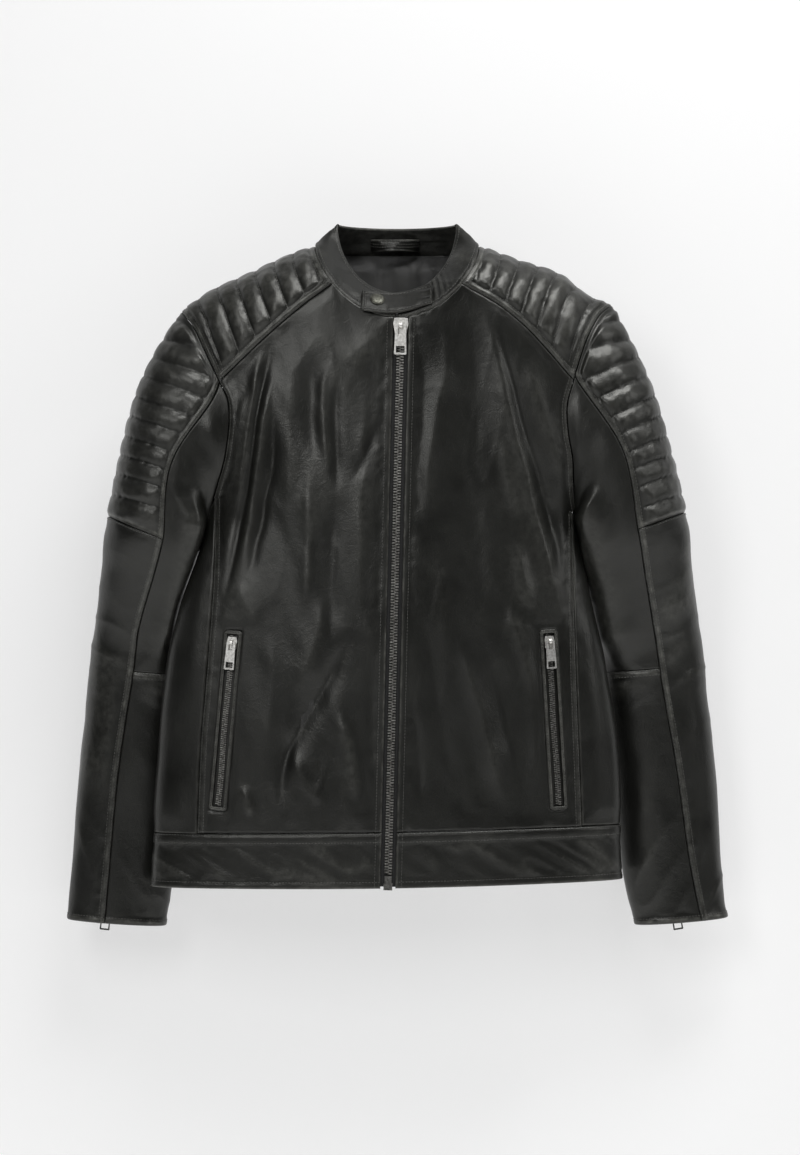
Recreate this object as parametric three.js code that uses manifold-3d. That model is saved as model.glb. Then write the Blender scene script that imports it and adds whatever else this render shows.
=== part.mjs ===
// A black leather riding jacket that hangs from the loop inside its neck: quilted shoulders and
// upper arms, a band collar with a snap tab, and zips at the centre front, the pockets and the cuffs.
//
// Millimetres, +Z up. The origin is where the hanger loop bears on its hook, -Y is the front,
// and the wearer's right is -X. "Side" is -1 for the wearer's right and +1 for the wearer's left.
import * as THREE from "three";
import { mergeVertices } from "three/addons/utils/BufferGeometryUtils.js";
import Module from "manifold-3d";

const wasm = await Module();
wasm.setup();

// ---------------------------------------------------------------- driving dimensions

const LEATHER = 2.4; // an outer panel with its backing
const BAND_LEATHER = 3; // the doubled leather of the collar and the hem
const LINING = 0.8;
const LINING_DEPTH = 8.4; // outer skin to the lining
const SEAM_GAP = 0.5; // from a seam line to the edge of each panel beside it
const ARMHOLE_GAP = 1;

// The body is a flattened barrel: a side plane, a depth each way, and how square it stays.
const SIDE_PLANE_Y = -38;
const FRONT_DEPTH = 52;
const BACK_DEPTH = 62;
const SQUARENESS = 0.45;
const SHOULDER_ROUND = 70;

const NECK_HALF_WIDTH = 85;
const NECK_SIDE_Z = -5;
const NECK_FRONT_DROP = 76;
const NECK_BACK_DROP = 3;
const NECK_RISE = 110; // how far the shoulder ridge would climb inside the neck hole
const NECK_RISE_HALF_WIDTH = 90;
const YOKE_NECK_X = 66;

const COLLAR_TOP_HALF_WIDTH = 61;
const COLLAR_TOP_FRONT_DEPTH = 30;
const COLLAR_TOP_BACK_DEPTH = 36;
const COLLAR_TOP_Z = 19;
const COLLAR_FRONT_DIP = 74;
const COLLAR_BACK_DIP = 1.5;
const COLLAR_BULGE = 1.5;
const COLLAR_SLIT = 0.9; // degrees each side of the centre front
const COLLAR_SEAM = 0.06; // share of the collar's height left clear above the neck seam

const ZIP_TOP = { x: 4.1, z: -82.4 };
const ZIP_BOTTOM = { x: -9.3, z: -664.4 };
const ZIP_OPENING = 7.7; // centre line to the folded leather edge
const CHAIN_HALF_WIDTH = 3.85;
const TAPE_DEPTH = 3.4; // outer skin to the front of the tape
const TAPE_THICKNESS = 0.8;
const TEETH_TOP_DEPTH = 0.4;
const TEETH_THICKNESS = TAPE_DEPTH - TEETH_TOP_DEPTH - 0.3; // stops just short of the tape

const POCKET_FRAME = { width: 20, length: 186, slot: 11.6, slotLength: 177 };
const POCKET_CHAIN_HALF_WIDTH = 3;
const POCKET_TAPE_HALF_WIDTH = 11;
const CUFF_ZIP = { length: 112, slot: 11.6, chainHalfWidth: 2.6, tapeDepth: 4.4, tapeHalf: 8, headroom: 4 };
const CUT_REACH = 12; // how far a cutting block stands off each face of a panel

const HEM_SEAM_Z = profile([-260, -611], [0, -608], [240, -602]);
const HEM_BOTTOM_Z = profile([-260, -667], [0, -665], [240, -659]);
const HEM_RANGE = [-667, -604]; // heights the hem's width is read from
const HEM_SIDE_ANGLE = 0.006; // from the side edge to the end of each hem strip

// Shape of each side of the body: distances from the centre plane against height.
const BODY = {
  "-1": {
    name: "right",
    edge: profile([-667, 255], [-556, 248], [-451, 239], [-380, 224], [-330, 207], [-288, 195.5],
      [-250, 203], [-181, 232], [-100, 242], [0, 242]),
    princess: profile([-667, 207], [-525, 202], [-463, 197], [-386, 191], [-340, 188.5], [-266, 187.5]),
    armhole: profile([-288, 195], [-261, 187.5], [-229, 178], [-206, 174], [-181, 172], [-162, 174.5],
      [-148, 182], [-133, 189], [-112, 199], [-90, 210], [-73, 223.5]),
    armholeTop: -73,
    armpit: -288,
    sideSeamTop: -266,
    shoulder: profile([85, -5], [109, -13], [143, -29], [183, -47], [204, -59], [223.5, -73]),
    yokeFront: profile([66, -47], [94, -67], [132, -99], [181, -145]),
    yokeFrontEnd: -145,
    yokeBack: profile([66, -7], [120, -62], [190.5, -130]),
    yokeBackEnd: -130,
    pocket: { top: [-168, -406], bottom: [-184, -585] },
  },
  "1": {
    name: "left",
    edge: profile([-667, 233], [-603, 231], [-510, 225], [-420, 211], [-371, 199], [-324, 189.5],
      [-284, 184.5], [-250, 196], [-181, 228], [-100, 242], [0, 242]),
    princess: profile([-667, 191], [-603, 190], [-556, 188.5], [-463, 185], [-371, 182.5], [-280, 181]),
    armhole: profile([-284, 184], [-244, 181.5], [-224, 180.5], [-200, 176], [-171, 174.6],
      [-145, 181.5], [-131, 185.5], [-101, 196], [-76, 210], [-66, 222.5]),
    armholeTop: -66,
    armpit: -284,
    sideSeamTop: -280,
    shoulder: profile([85, -5], [127, -20], [168, -34], [197, -56], [222.5, -66]),
    yokeFront: profile([66, -47], [106, -70], [137, -96], [181, -145]),
    yokeFrontEnd: -145,
    yokeBack: profile([66, -7], [120, -62], [186.5, -130]),
    yokeBackEnd: -130,
    pocket: { top: [155.5, -405], bottom: [166, -585] },
  },
};

// Each sleeve runs through rings: the outer and inner point of the ring seen from the front, how far
// its centre lies behind the side plane, and its half depth.
const PAD_END = 2;
const ELBOW = 5;
const CUFF = 8;
const SLEEVE_SQUARENESS = 0.95;
const SLEEVE = {
  "-1": {
    rings: [
      { outer: [268, -153], inner: [201, -303], back: 4, depth: 44 },
      { outer: [300, -284], inner: [209, -322], back: 10, depth: 42 },
      { outer: [308, -338], inner: [218, -356], back: 25, depth: 39 },
      { outer: [316, -395], inner: [225, -404], back: 44, depth: 37 },
      { outer: [322, -441], inner: [214, -451], back: 52, depth: 35 },
      { outer: [334, -556], inner: [222, -560], back: 55, depth: 33 },
      { outer: [341, -640], inner: [232, -645], back: 52, depth: 28 },
      { outer: [346, -706], inner: [243, -713], back: 49.5, depth: 24 },
    ],
    frontSeam: profile([0, 72], [2, 108], [5, 83], [6, 76], [8, 78]),
    backSeam: profile([0, -72], [2, -88], [5, -82], [6, -75], [8, -75]),
  },
  "1": {
    rings: [
      { outer: [265, -155], inner: [188, -298], back: 4, depth: 44 },
      { outer: [299, -280], inner: [196, -316], back: 10, depth: 42 },
      { outer: [307, -335], inner: [206, -350], back: 25, depth: 39 },
      { outer: [316, -392], inner: [214, -402], back: 42, depth: 37 },
      { outer: [323, -438], inner: [216, -447], back: 50, depth: 35 },
      { outer: [335, -553], inner: [226, -557], back: 54, depth: 33 },
      { outer: [341, -640], inner: [235, -645], back: 51.5, depth: 28 },
      { outer: [347, -704], inner: [250, -712], back: 49, depth: 24 },
    ],
    frontSeam: profile([0, 72], [2, 90], [5, 86], [6, 77], [8, 66]),
    backSeam: profile([0, -72], [2, -88], [5, -90], [6, -93], [8, -93]),
  },
};

// ---------------------------------------------------------------- finishes

const LOOKS = {
  leather: { color: 0x2c2d29, roughness: 0.5, metalness: 0 },
  quilted: { color: 0x33342f, roughness: 0.45, metalness: 0 },
  lining: { color: 0x17181a, roughness: 0.8, metalness: 0 },
  tape: { color: 0x131313, roughness: 0.9, metalness: 0 },
  nickel: { color: 0xc4c3be, roughness: 0.3, metalness: 1 },
  gunmetal: { color: 0x4a4a42, roughness: 0.4, metalness: 1 },
};

// ---------------------------------------------------------------- helpers

// A smooth curve through [key, value] points with rising keys, held level past its ends.
function profile(...points) {
  const slope = (i) => {
    const before = points[Math.max(i - 1, 0)];
    const after = points[Math.min(i + 1, points.length - 1)];
    return (after[1] - before[1]) / (after[0] - before[0]);
  };
  return (key) => {
    if (key <= points[0][0]) return points[0][1];
    if (key >= points[points.length - 1][0]) return points[points.length - 1][1];
    let i = 0;
    while (key > points[i + 1][0]) i += 1;
    const span = points[i + 1][0] - points[i][0];
    const t = (key - points[i][0]) / span;
    const s = 1 - t;
    return (
      points[i][1] * s * s * (1 + 2 * t) +
      slope(i) * span * t * s * s +
      points[i + 1][1] * t * t * (3 - 2 * t) -
      slope(i + 1) * span * t * t * s
    );
  };
}

const lerp = THREE.MathUtils.lerp;
const clamp = THREE.MathUtils.clamp;
const radians = THREE.MathUtils.degToRad;

// Turns a closed geometry's faces outwards if they point in.
function facingOut(geometry) {
  const merged = mergeVertices(geometry, 1e-4);
  const index = merged.getIndex();
  const position = merged.getAttribute("position");
  const [a, b, c] = [new THREE.Vector3(), new THREE.Vector3(), new THREE.Vector3()];
  let volume = 0;
  for (let i = 0; i < index.count; i += 3) {
    a.fromBufferAttribute(position, index.getX(i));
    b.fromBufferAttribute(position, index.getX(i + 1));
    c.fromBufferAttribute(position, index.getX(i + 2));
    volume += a.dot(b.cross(c));
  }
  if (volume < 0) {
    for (let i = 0; i < index.count; i += 3) {
      const first = index.getX(i);
      index.setX(i, index.getX(i + 1));
      index.setX(i + 1, first);
    }
  }
  return merged;
}

// A closed plate bent through space: place(u, v, w) gives each point, with u and v from 0 to 1
// over the plate, and w 0 on one face and 1 on the other.
function bentPlate(columns, rows, place) {
  const geometry = new THREE.BoxGeometry(1, 1, 1, columns, rows, 1);
  geometry.deleteAttribute("normal");
  geometry.deleteAttribute("uv");
  const position = geometry.getAttribute("position");
  for (let i = 0; i < position.count; i += 1) {
    const u = position.getX(i) + 0.5;
    const v = position.getY(i) + 0.5;
    const w = position.getZ(i) + 0.5;
    const point = place(u, v, w);
    position.setXYZ(i, point.x, point.y, point.z);
  }
  return facingOut(geometry);
}

function solidOf(geometry) {
  const bare = geometry.clone();
  bare.deleteAttribute("normal");
  bare.deleteAttribute("uv");
  const merged = mergeVertices(bare, 1e-4);
  return new wasm.Manifold(
    new wasm.Mesh({
      numProp: 3,
      vertProperties: merged.getAttribute("position").array,
      triVerts: new Uint32Array(merged.getIndex().array),
    }),
  );
}

function geometryOf(solid) {
  const mesh = solid.getMesh();
  const geometry = new THREE.BufferGeometry();
  geometry.setAttribute("position", new THREE.BufferAttribute(mesh.vertProperties, 3));
  geometry.setIndex(new THREE.BufferAttribute(mesh.triVerts, 1));
  return geometry;
}

const cut = (geometry, tool) => geometryOf(solidOf(geometry).subtract(solidOf(tool)));
const join = (...pieces) => geometryOf(pieces.map(solidOf).reduce((all, piece) => all.add(piece)));

// A box between two corners.
function block(low, high) {
  const size = high.map((value, i) => value - low[i]);
  const box = new THREE.BoxGeometry(...size);
  return box.translate(...high.map((value, i) => (value + low[i]) / 2));
}

// A flat shape of points pushed up from z = base to z = top.
function slab(points, holes, base, top) {
  const shape = new THREE.Shape(points.map(([x, y]) => new THREE.Vector2(x, y)));
  shape.holes = holes.map((hole) => new THREE.Path(hole.map(([x, y]) => new THREE.Vector2(x, y))));
  const depth = top - base;
  const geometry = new THREE.ExtrudeGeometry(shape, { depth, bevelEnabled: false });
  return geometry.translate(0, 0, base);
}

// The points of a circle's arc.
function arc(cx, cy, radius, from, to, steps) {
  return Array.from({ length: steps + 1 }, (_, i) => {
    const angle = radians(lerp(from, to, i / steps));
    return [cx + radius * Math.cos(angle), cy + radius * Math.sin(angle)];
  });
}

// A frame on a surface: x across, y up along the line, z outwards.
function surfaceFrame(top, bottom, outwards) {
  const up = top.clone().sub(bottom).normalize();
  const across = up.clone().cross(outwards).normalize();
  const out = across.clone().cross(up);
  return new THREE.Matrix4().makeBasis(across, up, out).setPosition(top);
}

// ---------------------------------------------------------------- the body's surface

const root = new THREE.Group();

function addPart(name, geometry, look, matrix) {
  const mesh = new THREE.Mesh(geometry, new THREE.MeshStandardMaterial(LOOKS[look]));
  mesh.name = name;
  if (matrix) mesh.applyMatrix4(matrix);
  root.add(mesh);
  return mesh;
}

const sideOf = (x) => (x < 0 ? -1 : 1);

// Height of the shoulder ridge, carried on inside the neck hole as a steep rise.
function shoulderZ(x) {
  const rise = Math.max(0, 1 - (x / NECK_RISE_HALF_WIDTH) ** 2);
  return BODY[sideOf(x)].shoulder(Math.abs(x)) + NECK_RISE * rise * rise;
}

const centreX = (z) => (BODY[1].edge(z) - BODY[-1].edge(z)) / 2;
const halfWidth = (z) => (BODY[1].edge(z) + BODY[-1].edge(z)) / 2;

function ridge(x, z, inset) {
  const drop = clamp((shoulderZ(x) - inset - z) / SHOULDER_ROUND, 0, 1);
  return Math.sqrt(1 - (1 - drop) ** 2);
}

// The body's skin moved in by an inset, facing the front (facing -1) or the back (facing 1).
function skinY(x, z, inset, facing) {
  const across = clamp((x - centreX(z)) / (halfWidth(z) - inset), -1, 1);
  const depth = (facing < 0 ? FRONT_DEPTH : BACK_DEPTH) - inset;
  return SIDE_PLANE_Y + facing * depth * (1 - across * across) ** SQUARENESS * ridge(x, z, inset);
}

const skin = (x, z, inset, facing) => new THREE.Vector3(x, skinY(x, z, inset, facing), z);

// The same skin by its angle round the side: 0 at the side edge, 90 at the middle.
function skinRound(side, angle, z, inset, facing) {
  const reach = halfWidth(z) - inset;
  const x = centreX(z) + side * reach * Math.cos(angle);
  const depth = (facing < 0 ? FRONT_DEPTH : BACK_DEPTH) - inset;
  const fullness = Math.abs(Math.sin(angle)) ** (2 * SQUARENESS);
  return new THREE.Vector3(x, SIDE_PLANE_Y + facing * depth * fullness, z);
}

function skinNormal(x, z, facing) {
  const step = 2;
  const across = skin(x + step, z, 0, facing).sub(skin(x - step, z, 0, facing));
  const up = skin(x, z + step, 0, facing).sub(skin(x, z - step, 0, facing));
  return across.cross(up).multiplyScalar(-facing).normalize();
}

const neckCosine = (x) => Math.sqrt(Math.max(0, 1 - (x / NECK_HALF_WIDTH) ** 2));
const neckFrontZ = (x) => NECK_SIDE_Z - NECK_FRONT_DROP * neckCosine(x) ** 1.3;
const neckBackZ = (x) => NECK_SIDE_Z - NECK_BACK_DROP * neckCosine(x);
const zipX = (z) => lerp(ZIP_TOP.x, ZIP_BOTTOM.x, (z - ZIP_TOP.z) / (ZIP_BOTTOM.z - ZIP_TOP.z));

// Distance of a panel's outer edge from the centre plane: the armhole, then the side seam.
function panelEdge(side, z) {
  const body = BODY[side];
  return z > body.sideSeamTop ? body.armhole(z) - ARMHOLE_GAP : body.princess(z) - SEAM_GAP;
}

// ---------------------------------------------------------------- front, back and side panels

const FACING_WIDTH = 40; // centre line to the edge of the front lining
const PANEL_ROWS_BELOW = 6;
const PANEL_ROWS_ABOVE = 6;

// Height of a panel's grid row: even rows up to the top of the side seam, then even rows above it.
function rowZ(v, low, middle, high) {
  const share = PANEL_ROWS_BELOW / (PANEL_ROWS_BELOW + PANEL_ROWS_ABOVE);
  return v <= share ? lerp(low, middle, v / share) : lerp(middle, high, (v - share) / (1 - share));
}

// The outer panel, and the lining that stops short of its edges.
const PANEL = { margin: 0, inset: 0, thickness: LEATHER };
const LINER = { margin: 14, inset: LINING_DEPTH, thickness: LINING };
const OUTER_COLUMNS = 6;
const NECK_COLUMNS = 5;

const sheetEdge = (side, z, layer) => panelEdge(side, z) - layer.margin;
const sheetBottom = (x, layer) => HEM_SEAM_Z(x) + SEAM_GAP + layer.margin;

// One front sheet from the side seam to innerEdge(z), its distance from the centre plane at the zip.
function frontSheet(side, layer, innerEdge) {
  const body = BODY[side];
  const outerTop = sheetEdge(side, body.yokeFrontEnd, layer);
  const innerTop = innerEdge(ZIP_TOP.z);
  const kink = (outerTop - YOKE_NECK_X) / (outerTop - innerTop);
  const place = (u, v, w) => {
    const share = OUTER_COLUMNS / (OUTER_COLUMNS + NECK_COLUMNS);
    const a = u <= share ? (kink * u) / share : lerp(kink, 1, (u - share) / (1 - share));
    const topX = lerp(outerTop, innerTop, a);
    const seam = topX > YOKE_NECK_X ? body.yokeFront(topX) : neckFrontZ(topX) - SEAM_GAP;
    const bottom = sheetBottom(side * topX, layer);
    const z = rowZ(v, bottom, body.sideSeamTop, seam - SEAM_GAP - layer.margin);
    const x = side * lerp(sheetEdge(side, Math.min(z, body.yokeFrontEnd), layer), innerEdge(z), a);
    return skin(x, z, layer.inset + layer.thickness * (1 - w), -1);
  };
  return bentPlate(OUTER_COLUMNS + NECK_COLUMNS, PANEL_ROWS_BELOW + PANEL_ROWS_ABOVE, place);
}

// The back sheet, from one side seam to the other.
function backSheet(layer) {
  const columns = 2 * (OUTER_COLUMNS + NECK_COLUMNS);
  const kink = NECK_COLUMNS / (OUTER_COLUMNS + NECK_COLUMNS);
  const place = (u, v, w) => {
    const side = u < 0.5 ? -1 : 1;
    const body = BODY[side];
    const outerTop = sheetEdge(side, body.yokeBackEnd, layer);
    const a = Math.abs(2 * u - 1);
    const topX = a <= kink ? (YOKE_NECK_X * a) / kink : lerp(YOKE_NECK_X, outerTop, (a - kink) / (1 - kink));
    const seam = topX > YOKE_NECK_X ? body.yokeBack(topX) : neckBackZ(topX) - SEAM_GAP;
    const bottom = sheetBottom(side * topX, layer);
    const z = rowZ(v, bottom, body.sideSeamTop, seam - SEAM_GAP - layer.margin);
    const x = (side * sheetEdge(side, Math.min(z, body.yokeBackEnd), layer) * topX) / outerTop;
    return skin(x, z, layer.inset + layer.thickness * (1 - w), 1);
  };
  return bentPlate(columns, PANEL_ROWS_BELOW + PANEL_ROWS_ABOVE, place);
}

const frontPanel = (side) => frontSheet(side, PANEL, (z) => ZIP_OPENING + side * zipX(z));
const frontLining = (side) => frontSheet(side, LINER, () => FACING_WIDTH);

function sidePanel(side) {
  const body = BODY[side];
  const place = (u, v, w) => {
    const turn = 2 * u - 1; // -1 at the front seam, 1 at the back seam
    const facing = turn < 0 ? -1 : 1;
    const top = lerp(body.armpit, body.sideSeamTop, turn * turn) - 2 * ARMHOLE_GAP;
    const z = lerp(HEM_SEAM_Z(side * body.edge(HEM_RANGE[1])) + SEAM_GAP, top, v);
    const seamX = side * (body.princess(z) + SEAM_GAP);
    const inset = LEATHER * (1 - w);
    const reach = clamp((side * (seamX - centreX(z))) / (halfWidth(z) - inset), 0, 1);
    return skinRound(side, Math.abs(turn) * Math.acos(reach), z, inset, facing);
  };
  return bentPlate(8, 10, place);
}

// ---------------------------------------------------------------- shoulder yokes

const YOKE_SPAN = [0.012, 0.993]; // neck to armhole, clear of both seams
const YOKE_FALL = 0.996; // ridge to seam, clear of the seam

// One yoke crosses the shoulder ridge from its front seam to its back seam. Each half is a patch
// between four edges: the ridge, the seam, the neck and the armhole. A point is kept as its distance
// from the centre plane and its drop below the ridge.
function shoulderYoke(side) {
  const body = BODY[side];
  const drop = (x, z) => shoulderZ(side * x) - z;
  const point = (x, z) => ({ x, drop: drop(x, z) });
  const tipX = body.armhole(body.armholeTop);
  const patch = (u, f, facing) => {
    const seam = facing < 0 ? body.yokeFront : body.yokeBack;
    const seamEnd = facing < 0 ? body.yokeFrontEnd : body.yokeBackEnd;
    const neckZ = facing < 0 ? neckFrontZ : neckBackZ;
    const seamX = (k) => lerp(YOKE_NECK_X, body.armhole(seamEnd), k);
    const atSeam = (k) => point(seamX(k), k === 0 ? neckZ(YOKE_NECK_X) : seam(seamX(k)));
    const atRidge = (k) => ({ x: lerp(NECK_HALF_WIDTH, tipX, k), drop: 0 });
    const neckX = NECK_HALF_WIDTH * Math.sqrt(1 - (f * neckCosine(YOKE_NECK_X)) ** 2);
    const armZ = lerp(body.armholeTop, seamEnd, f * f);
    const atNeck = point(neckX, neckZ(neckX));
    const atArm = point(body.armhole(armZ), armZ);
    const fall = f * f;
    const mix = (key) =>
      lerp(atRidge(u)[key], atSeam(u)[key], fall) +
      lerp(atNeck[key], atArm[key], u) -
      lerp(
        lerp(atRidge(0)[key], atSeam(0)[key], fall),
        lerp(atRidge(1)[key], atSeam(1)[key], fall),
        u,
      );
    return { x: mix("x"), drop: Math.max(0, mix("drop")) };
  };
  const place = (u, v, w) => {
    const turn = 2 * v - 1; // -1 at the front seam, 0 on the ridge, 1 at the back seam
    const facing = turn < 0 ? -1 : 1;
    const across = lerp(...YOKE_SPAN, u);
    const { x, drop: fall } = patch(across, Math.abs(turn) * YOKE_FALL, facing);
    const inset = LEATHER * (1 - w);
    const sunk = inset * (1 - turn * turn);
    return skin(side * x, shoulderZ(side * x) - sunk - fall, inset, facing);
  };
  return bentPlate(8, 12, place);
}

// ---------------------------------------------------------------- collar, tab and hanger loop

// A point on the collar's skin: the angle is 0 at the centre front and grows towards +X, and h runs
// from 0 at the neck seam to 1 at the top edge.
function collarSkin(angle, h) {
  const cosine = Math.cos(angle);
  const facing = cosine > 0 ? -1 : 1;
  const reach = Math.abs(cosine);
  const baseX = NECK_HALF_WIDTH * Math.sin(angle);
  const baseZ = facing < 0 ? neckFrontZ(baseX) : neckBackZ(baseX);
  const base = skin(baseX, baseZ, 0, facing);
  const depth = facing < 0 ? COLLAR_TOP_FRONT_DEPTH : COLLAR_TOP_BACK_DEPTH;
  const dip = facing < 0 ? COLLAR_FRONT_DIP : COLLAR_BACK_DIP;
  const top = new THREE.Vector3(
    COLLAR_TOP_HALF_WIDTH * Math.sin(angle),
    SIDE_PLANE_Y + facing * depth * reach,
    COLLAR_TOP_Z - dip * reach,
  );
  return base.lerp(top, h);
}

function collarPoint(angle, h, out) {
  const step = 0.01;
  const round = collarSkin(angle + step, h).sub(collarSkin(angle - step, h));
  const up = collarSkin(angle, h + step).sub(collarSkin(angle, h - step));
  const normal = round.cross(up).normalize();
  const bulge = COLLAR_BULGE * Math.sin(Math.PI * clamp(h, 0, 1));
  return collarSkin(angle, h).addScaledVector(normal, out + bulge);
}

function collarBand() {
  const place = (u, v, w) => {
    const angle = radians(lerp(COLLAR_SLIT, 360 - COLLAR_SLIT, u));
    return collarPoint(angle, lerp(COLLAR_SEAM, 1, v), -BAND_LEATHER * (1 - w));
  };
  return bentPlate(40, 2, place);
}

// A point in front of the collar, by how it is seen from the front.
function collarFront(x, z, out) {
  const baseZ = neckFrontZ(x);
  const topZ = COLLAR_TOP_Z - COLLAR_FRONT_DIP * Math.sqrt(1 - (x / COLLAR_TOP_HALF_WIDTH) ** 2);
  const h = (z - baseZ) / (topZ - baseZ);
  const angle = Math.asin(x / lerp(NECK_HALF_WIDTH, COLLAR_TOP_HALF_WIDTH, h));
  return collarPoint(angle, h, out);
}

const TAB_REACH = 37;
const TAB_BACK = 1.8; // collar skin to the back of the tab
const TAB_THICKNESS = 2.2;
const TAB_BOTTOM_Z = profile([-37, -77.5], [0, -80], [37, -70]);
const TAB_TOP_Z = profile([-37, -56.5], [0, -58], [37, -48.5]);
const SNAP = { x: -21, z: -66.5, capRadius: 7.75, socketRadius: 5.6, studRadius: 2 };

function collarTab() {
  const place = (u, v, w) => {
    const x = lerp(-TAB_REACH, TAB_REACH, u);
    const z = lerp(TAB_BOTTOM_Z(x), TAB_TOP_Z(x), v);
    return collarFront(x, z, TAB_BACK + TAB_THICKNESS * w);
  };
  return bentPlate(12, 2, place);
}

// The snap's own frame: its axis along +Z of the frame, its origin on the collar's skin.
function snapFrame() {
  const centre = collarFront(SNAP.x, SNAP.z, 0);
  const outwards = collarFront(SNAP.x, SNAP.z, 1).sub(centre);
  const above = collarFront(SNAP.x, SNAP.z + 1, 0);
  return surfaceFrame(above, centre, outwards).setPosition(centre);
}

// A turned piece about +Z from [radius, height] points.
function turned(points, segments = 20) {
  const outline = points.map(([radius, height]) => new THREE.Vector2(radius, height));
  const lathe = new THREE.LatheGeometry(outline, segments).rotateX(Math.PI / 2);
  lathe.deleteAttribute("normal");
  lathe.deleteAttribute("uv");
  return facingOut(lathe);
}

function snapParts() {
  const frame = snapFrame();
  const tabFront = TAB_BACK + TAB_THICKNESS;
  const { capRadius, socketRadius, studRadius } = SNAP;
  const stud = [[0, 0.3], [4.6, 0.3], [4.6, 0.6], [studRadius, 0.6], [studRadius, 1.2], [0, 1.2]];
  const socket = [[2.5, 0.8], [socketRadius, 0.8], [socketRadius, 1.3], [2.5, 1.3], [2.5, 0.8]];
  const cap = [[0, tabFront + 0.3], [capRadius - 0.4, tabFront + 0.3], [capRadius, tabFront + 0.7],
    [capRadius * 0.8, tabFront + 1.7], [capRadius * 0.45, tabFront + 2.3], [0, tabFront + 2.5]];
  addPart("snap_stud", turned(stud, 16), "nickel", frame);
  addPart("snap_socket", turned(socket, 16), "nickel", frame);
  addPart("snap_cap", turned(cap), "gunmetal", frame);
}

const LOOP = { left: 24, right: -28, halfHeight: 6, thickness: 1.8, gap: 2.8, seat: 0.4, fullness: 0.7 };

// The loop's ends lie on the inside of the collar band and its middle stands clear for a hook.
function hangerLoop() {
  const place = (u, v, w) => {
    const x = lerp(LOOP.right, LOOP.left, u);
    const z = lerp(-LOOP.halfHeight, LOOP.halfHeight, v);
    const angle = Math.PI - Math.asin(x / lerp(NECK_HALF_WIDTH, COLLAR_TOP_HALF_WIDTH, LOOP.seat));
    const baseZ = neckBackZ(x);
    const h = (z - baseZ) / (COLLAR_TOP_Z - COLLAR_BACK_DIP - baseZ);
    const sewn = collarPoint(angle, h, -BAND_LEATHER - LOOP.gap).y;
    const back = lerp(sewn, 0, Math.sin(Math.PI * u) ** LOOP.fullness);
    return new THREE.Vector3(x, back - LOOP.thickness * w, z);
  };
  return bentPlate(12, 1, place);
}

// ---------------------------------------------------------------- hem band

const hemZ = (x, v) => lerp(HEM_BOTTOM_Z(x), HEM_SEAM_Z(x) - SEAM_GAP, v);

function hemFront(side) {
  const place = (u, v, w) => {
    const z = lerp(...HEM_RANGE, v);
    const edge = ZIP_OPENING + side * zipX(z);
    const reach = (edge - side * centreX(z)) / halfWidth(z);
    const angle = lerp(Math.acos(reach), HEM_SIDE_ANGLE, u);
    const point = skinRound(side, angle, z, BAND_LEATHER * (1 - w), -1);
    point.z = hemZ(point.x, v);
    return point;
  };
  return bentPlate(12, 1, place);
}

function hemBack() {
  const place = (u, v, w) => {
    const side = u < 0.5 ? -1 : 1;
    const angle = lerp(HEM_SIDE_ANGLE, Math.PI / 2, 1 - Math.abs(2 * u - 1));
    const z = lerp(...HEM_RANGE, v);
    const point = skinRound(side, angle, z, BAND_LEATHER * (1 - w), 1);
    point.z = hemZ(point.x, v);
    return point;
  };
  return bentPlate(20, 1, place);
}

// ---------------------------------------------------------------- sleeves

// The armhole seam at an angle round the sleeve: 0 at the top, 90 at the front, 180 at the armpit.
function armholePoint(side, angle, inset) {
  const body = BODY[side];
  const centre = (body.armholeTop + body.armpit) / 2;
  const half = (body.armholeTop - body.armpit) / 2;
  const seamZ = centre + half * Math.cos(angle);
  const x = body.armhole(seamZ);
  const facing = Math.sin(angle) > 0 ? -1 : 1;
  const y = skinY(side * x, seamZ, 0, facing) + inset * Math.sin(angle);
  return new THREE.Vector3(side * x, y, centre + (half - inset) * Math.cos(angle));
}

function ringPoint(side, ring, angle, inset) {
  const [outerX, outerZ] = ring.outer;
  const [innerX, innerZ] = ring.inner;
  const half = Math.hypot(outerX - innerX, outerZ - innerZ) / 2;
  const share = (Math.cos(angle) * (half - inset)) / half;
  const sine = Math.sin(angle);
  const fullness = Math.sign(sine) * Math.abs(sine) ** SLEEVE_SQUARENESS;
  return new THREE.Vector3(
    (side * (outerX + innerX + (outerX - innerX) * share)) / 2,
    SIDE_PLANE_Y + ring.back - (ring.depth - inset) * fullness,
    (outerZ + innerZ + (outerZ - innerZ) * share) / 2,
  );
}

// A point on the sleeve at a station from 0 at the armhole to CUFF, smooth through the rings.
function sleevePoint(side, degrees, station, inset) {
  const angle = radians(degrees);
  const at = (i) => {
    const index = clamp(i, 0, CUFF);
    return index === 0
      ? armholePoint(side, angle, inset)
      : ringPoint(side, SLEEVE[side].rings[index - 1], angle, inset);
  };
  const i = clamp(Math.floor(station), 0, CUFF - 1);
  const t = station - i;
  const [a, b, c, d] = [at(i - 1), at(i), at(i + 1), at(i + 2)];
  const curve = (p, q, r, s) =>
    q + 0.5 * t * (r - p + t * (2 * p - 5 * q + 4 * r - s + t * (3 * (q - r) + s - p)));
  return new THREE.Vector3(
    curve(a.x, b.x, c.x, d.x),
    curve(a.y, b.y, c.y, d.y),
    curve(a.z, b.z, c.z, d.z),
  );
}

const SLEEVE_GAP = 2; // armhole seam to the sleeve's edge
const SLEEVE_LINING_DEPTH = 7;
const SLEEVE_LINING_SPAN = [0.5, CUFF - 0.06]; // stations
const SLEEVE_SEAM = 1; // degrees each side of a lengthwise seam
const CROSS_SEAM = 0.012; // stations each side of a seam round the sleeve

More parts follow.
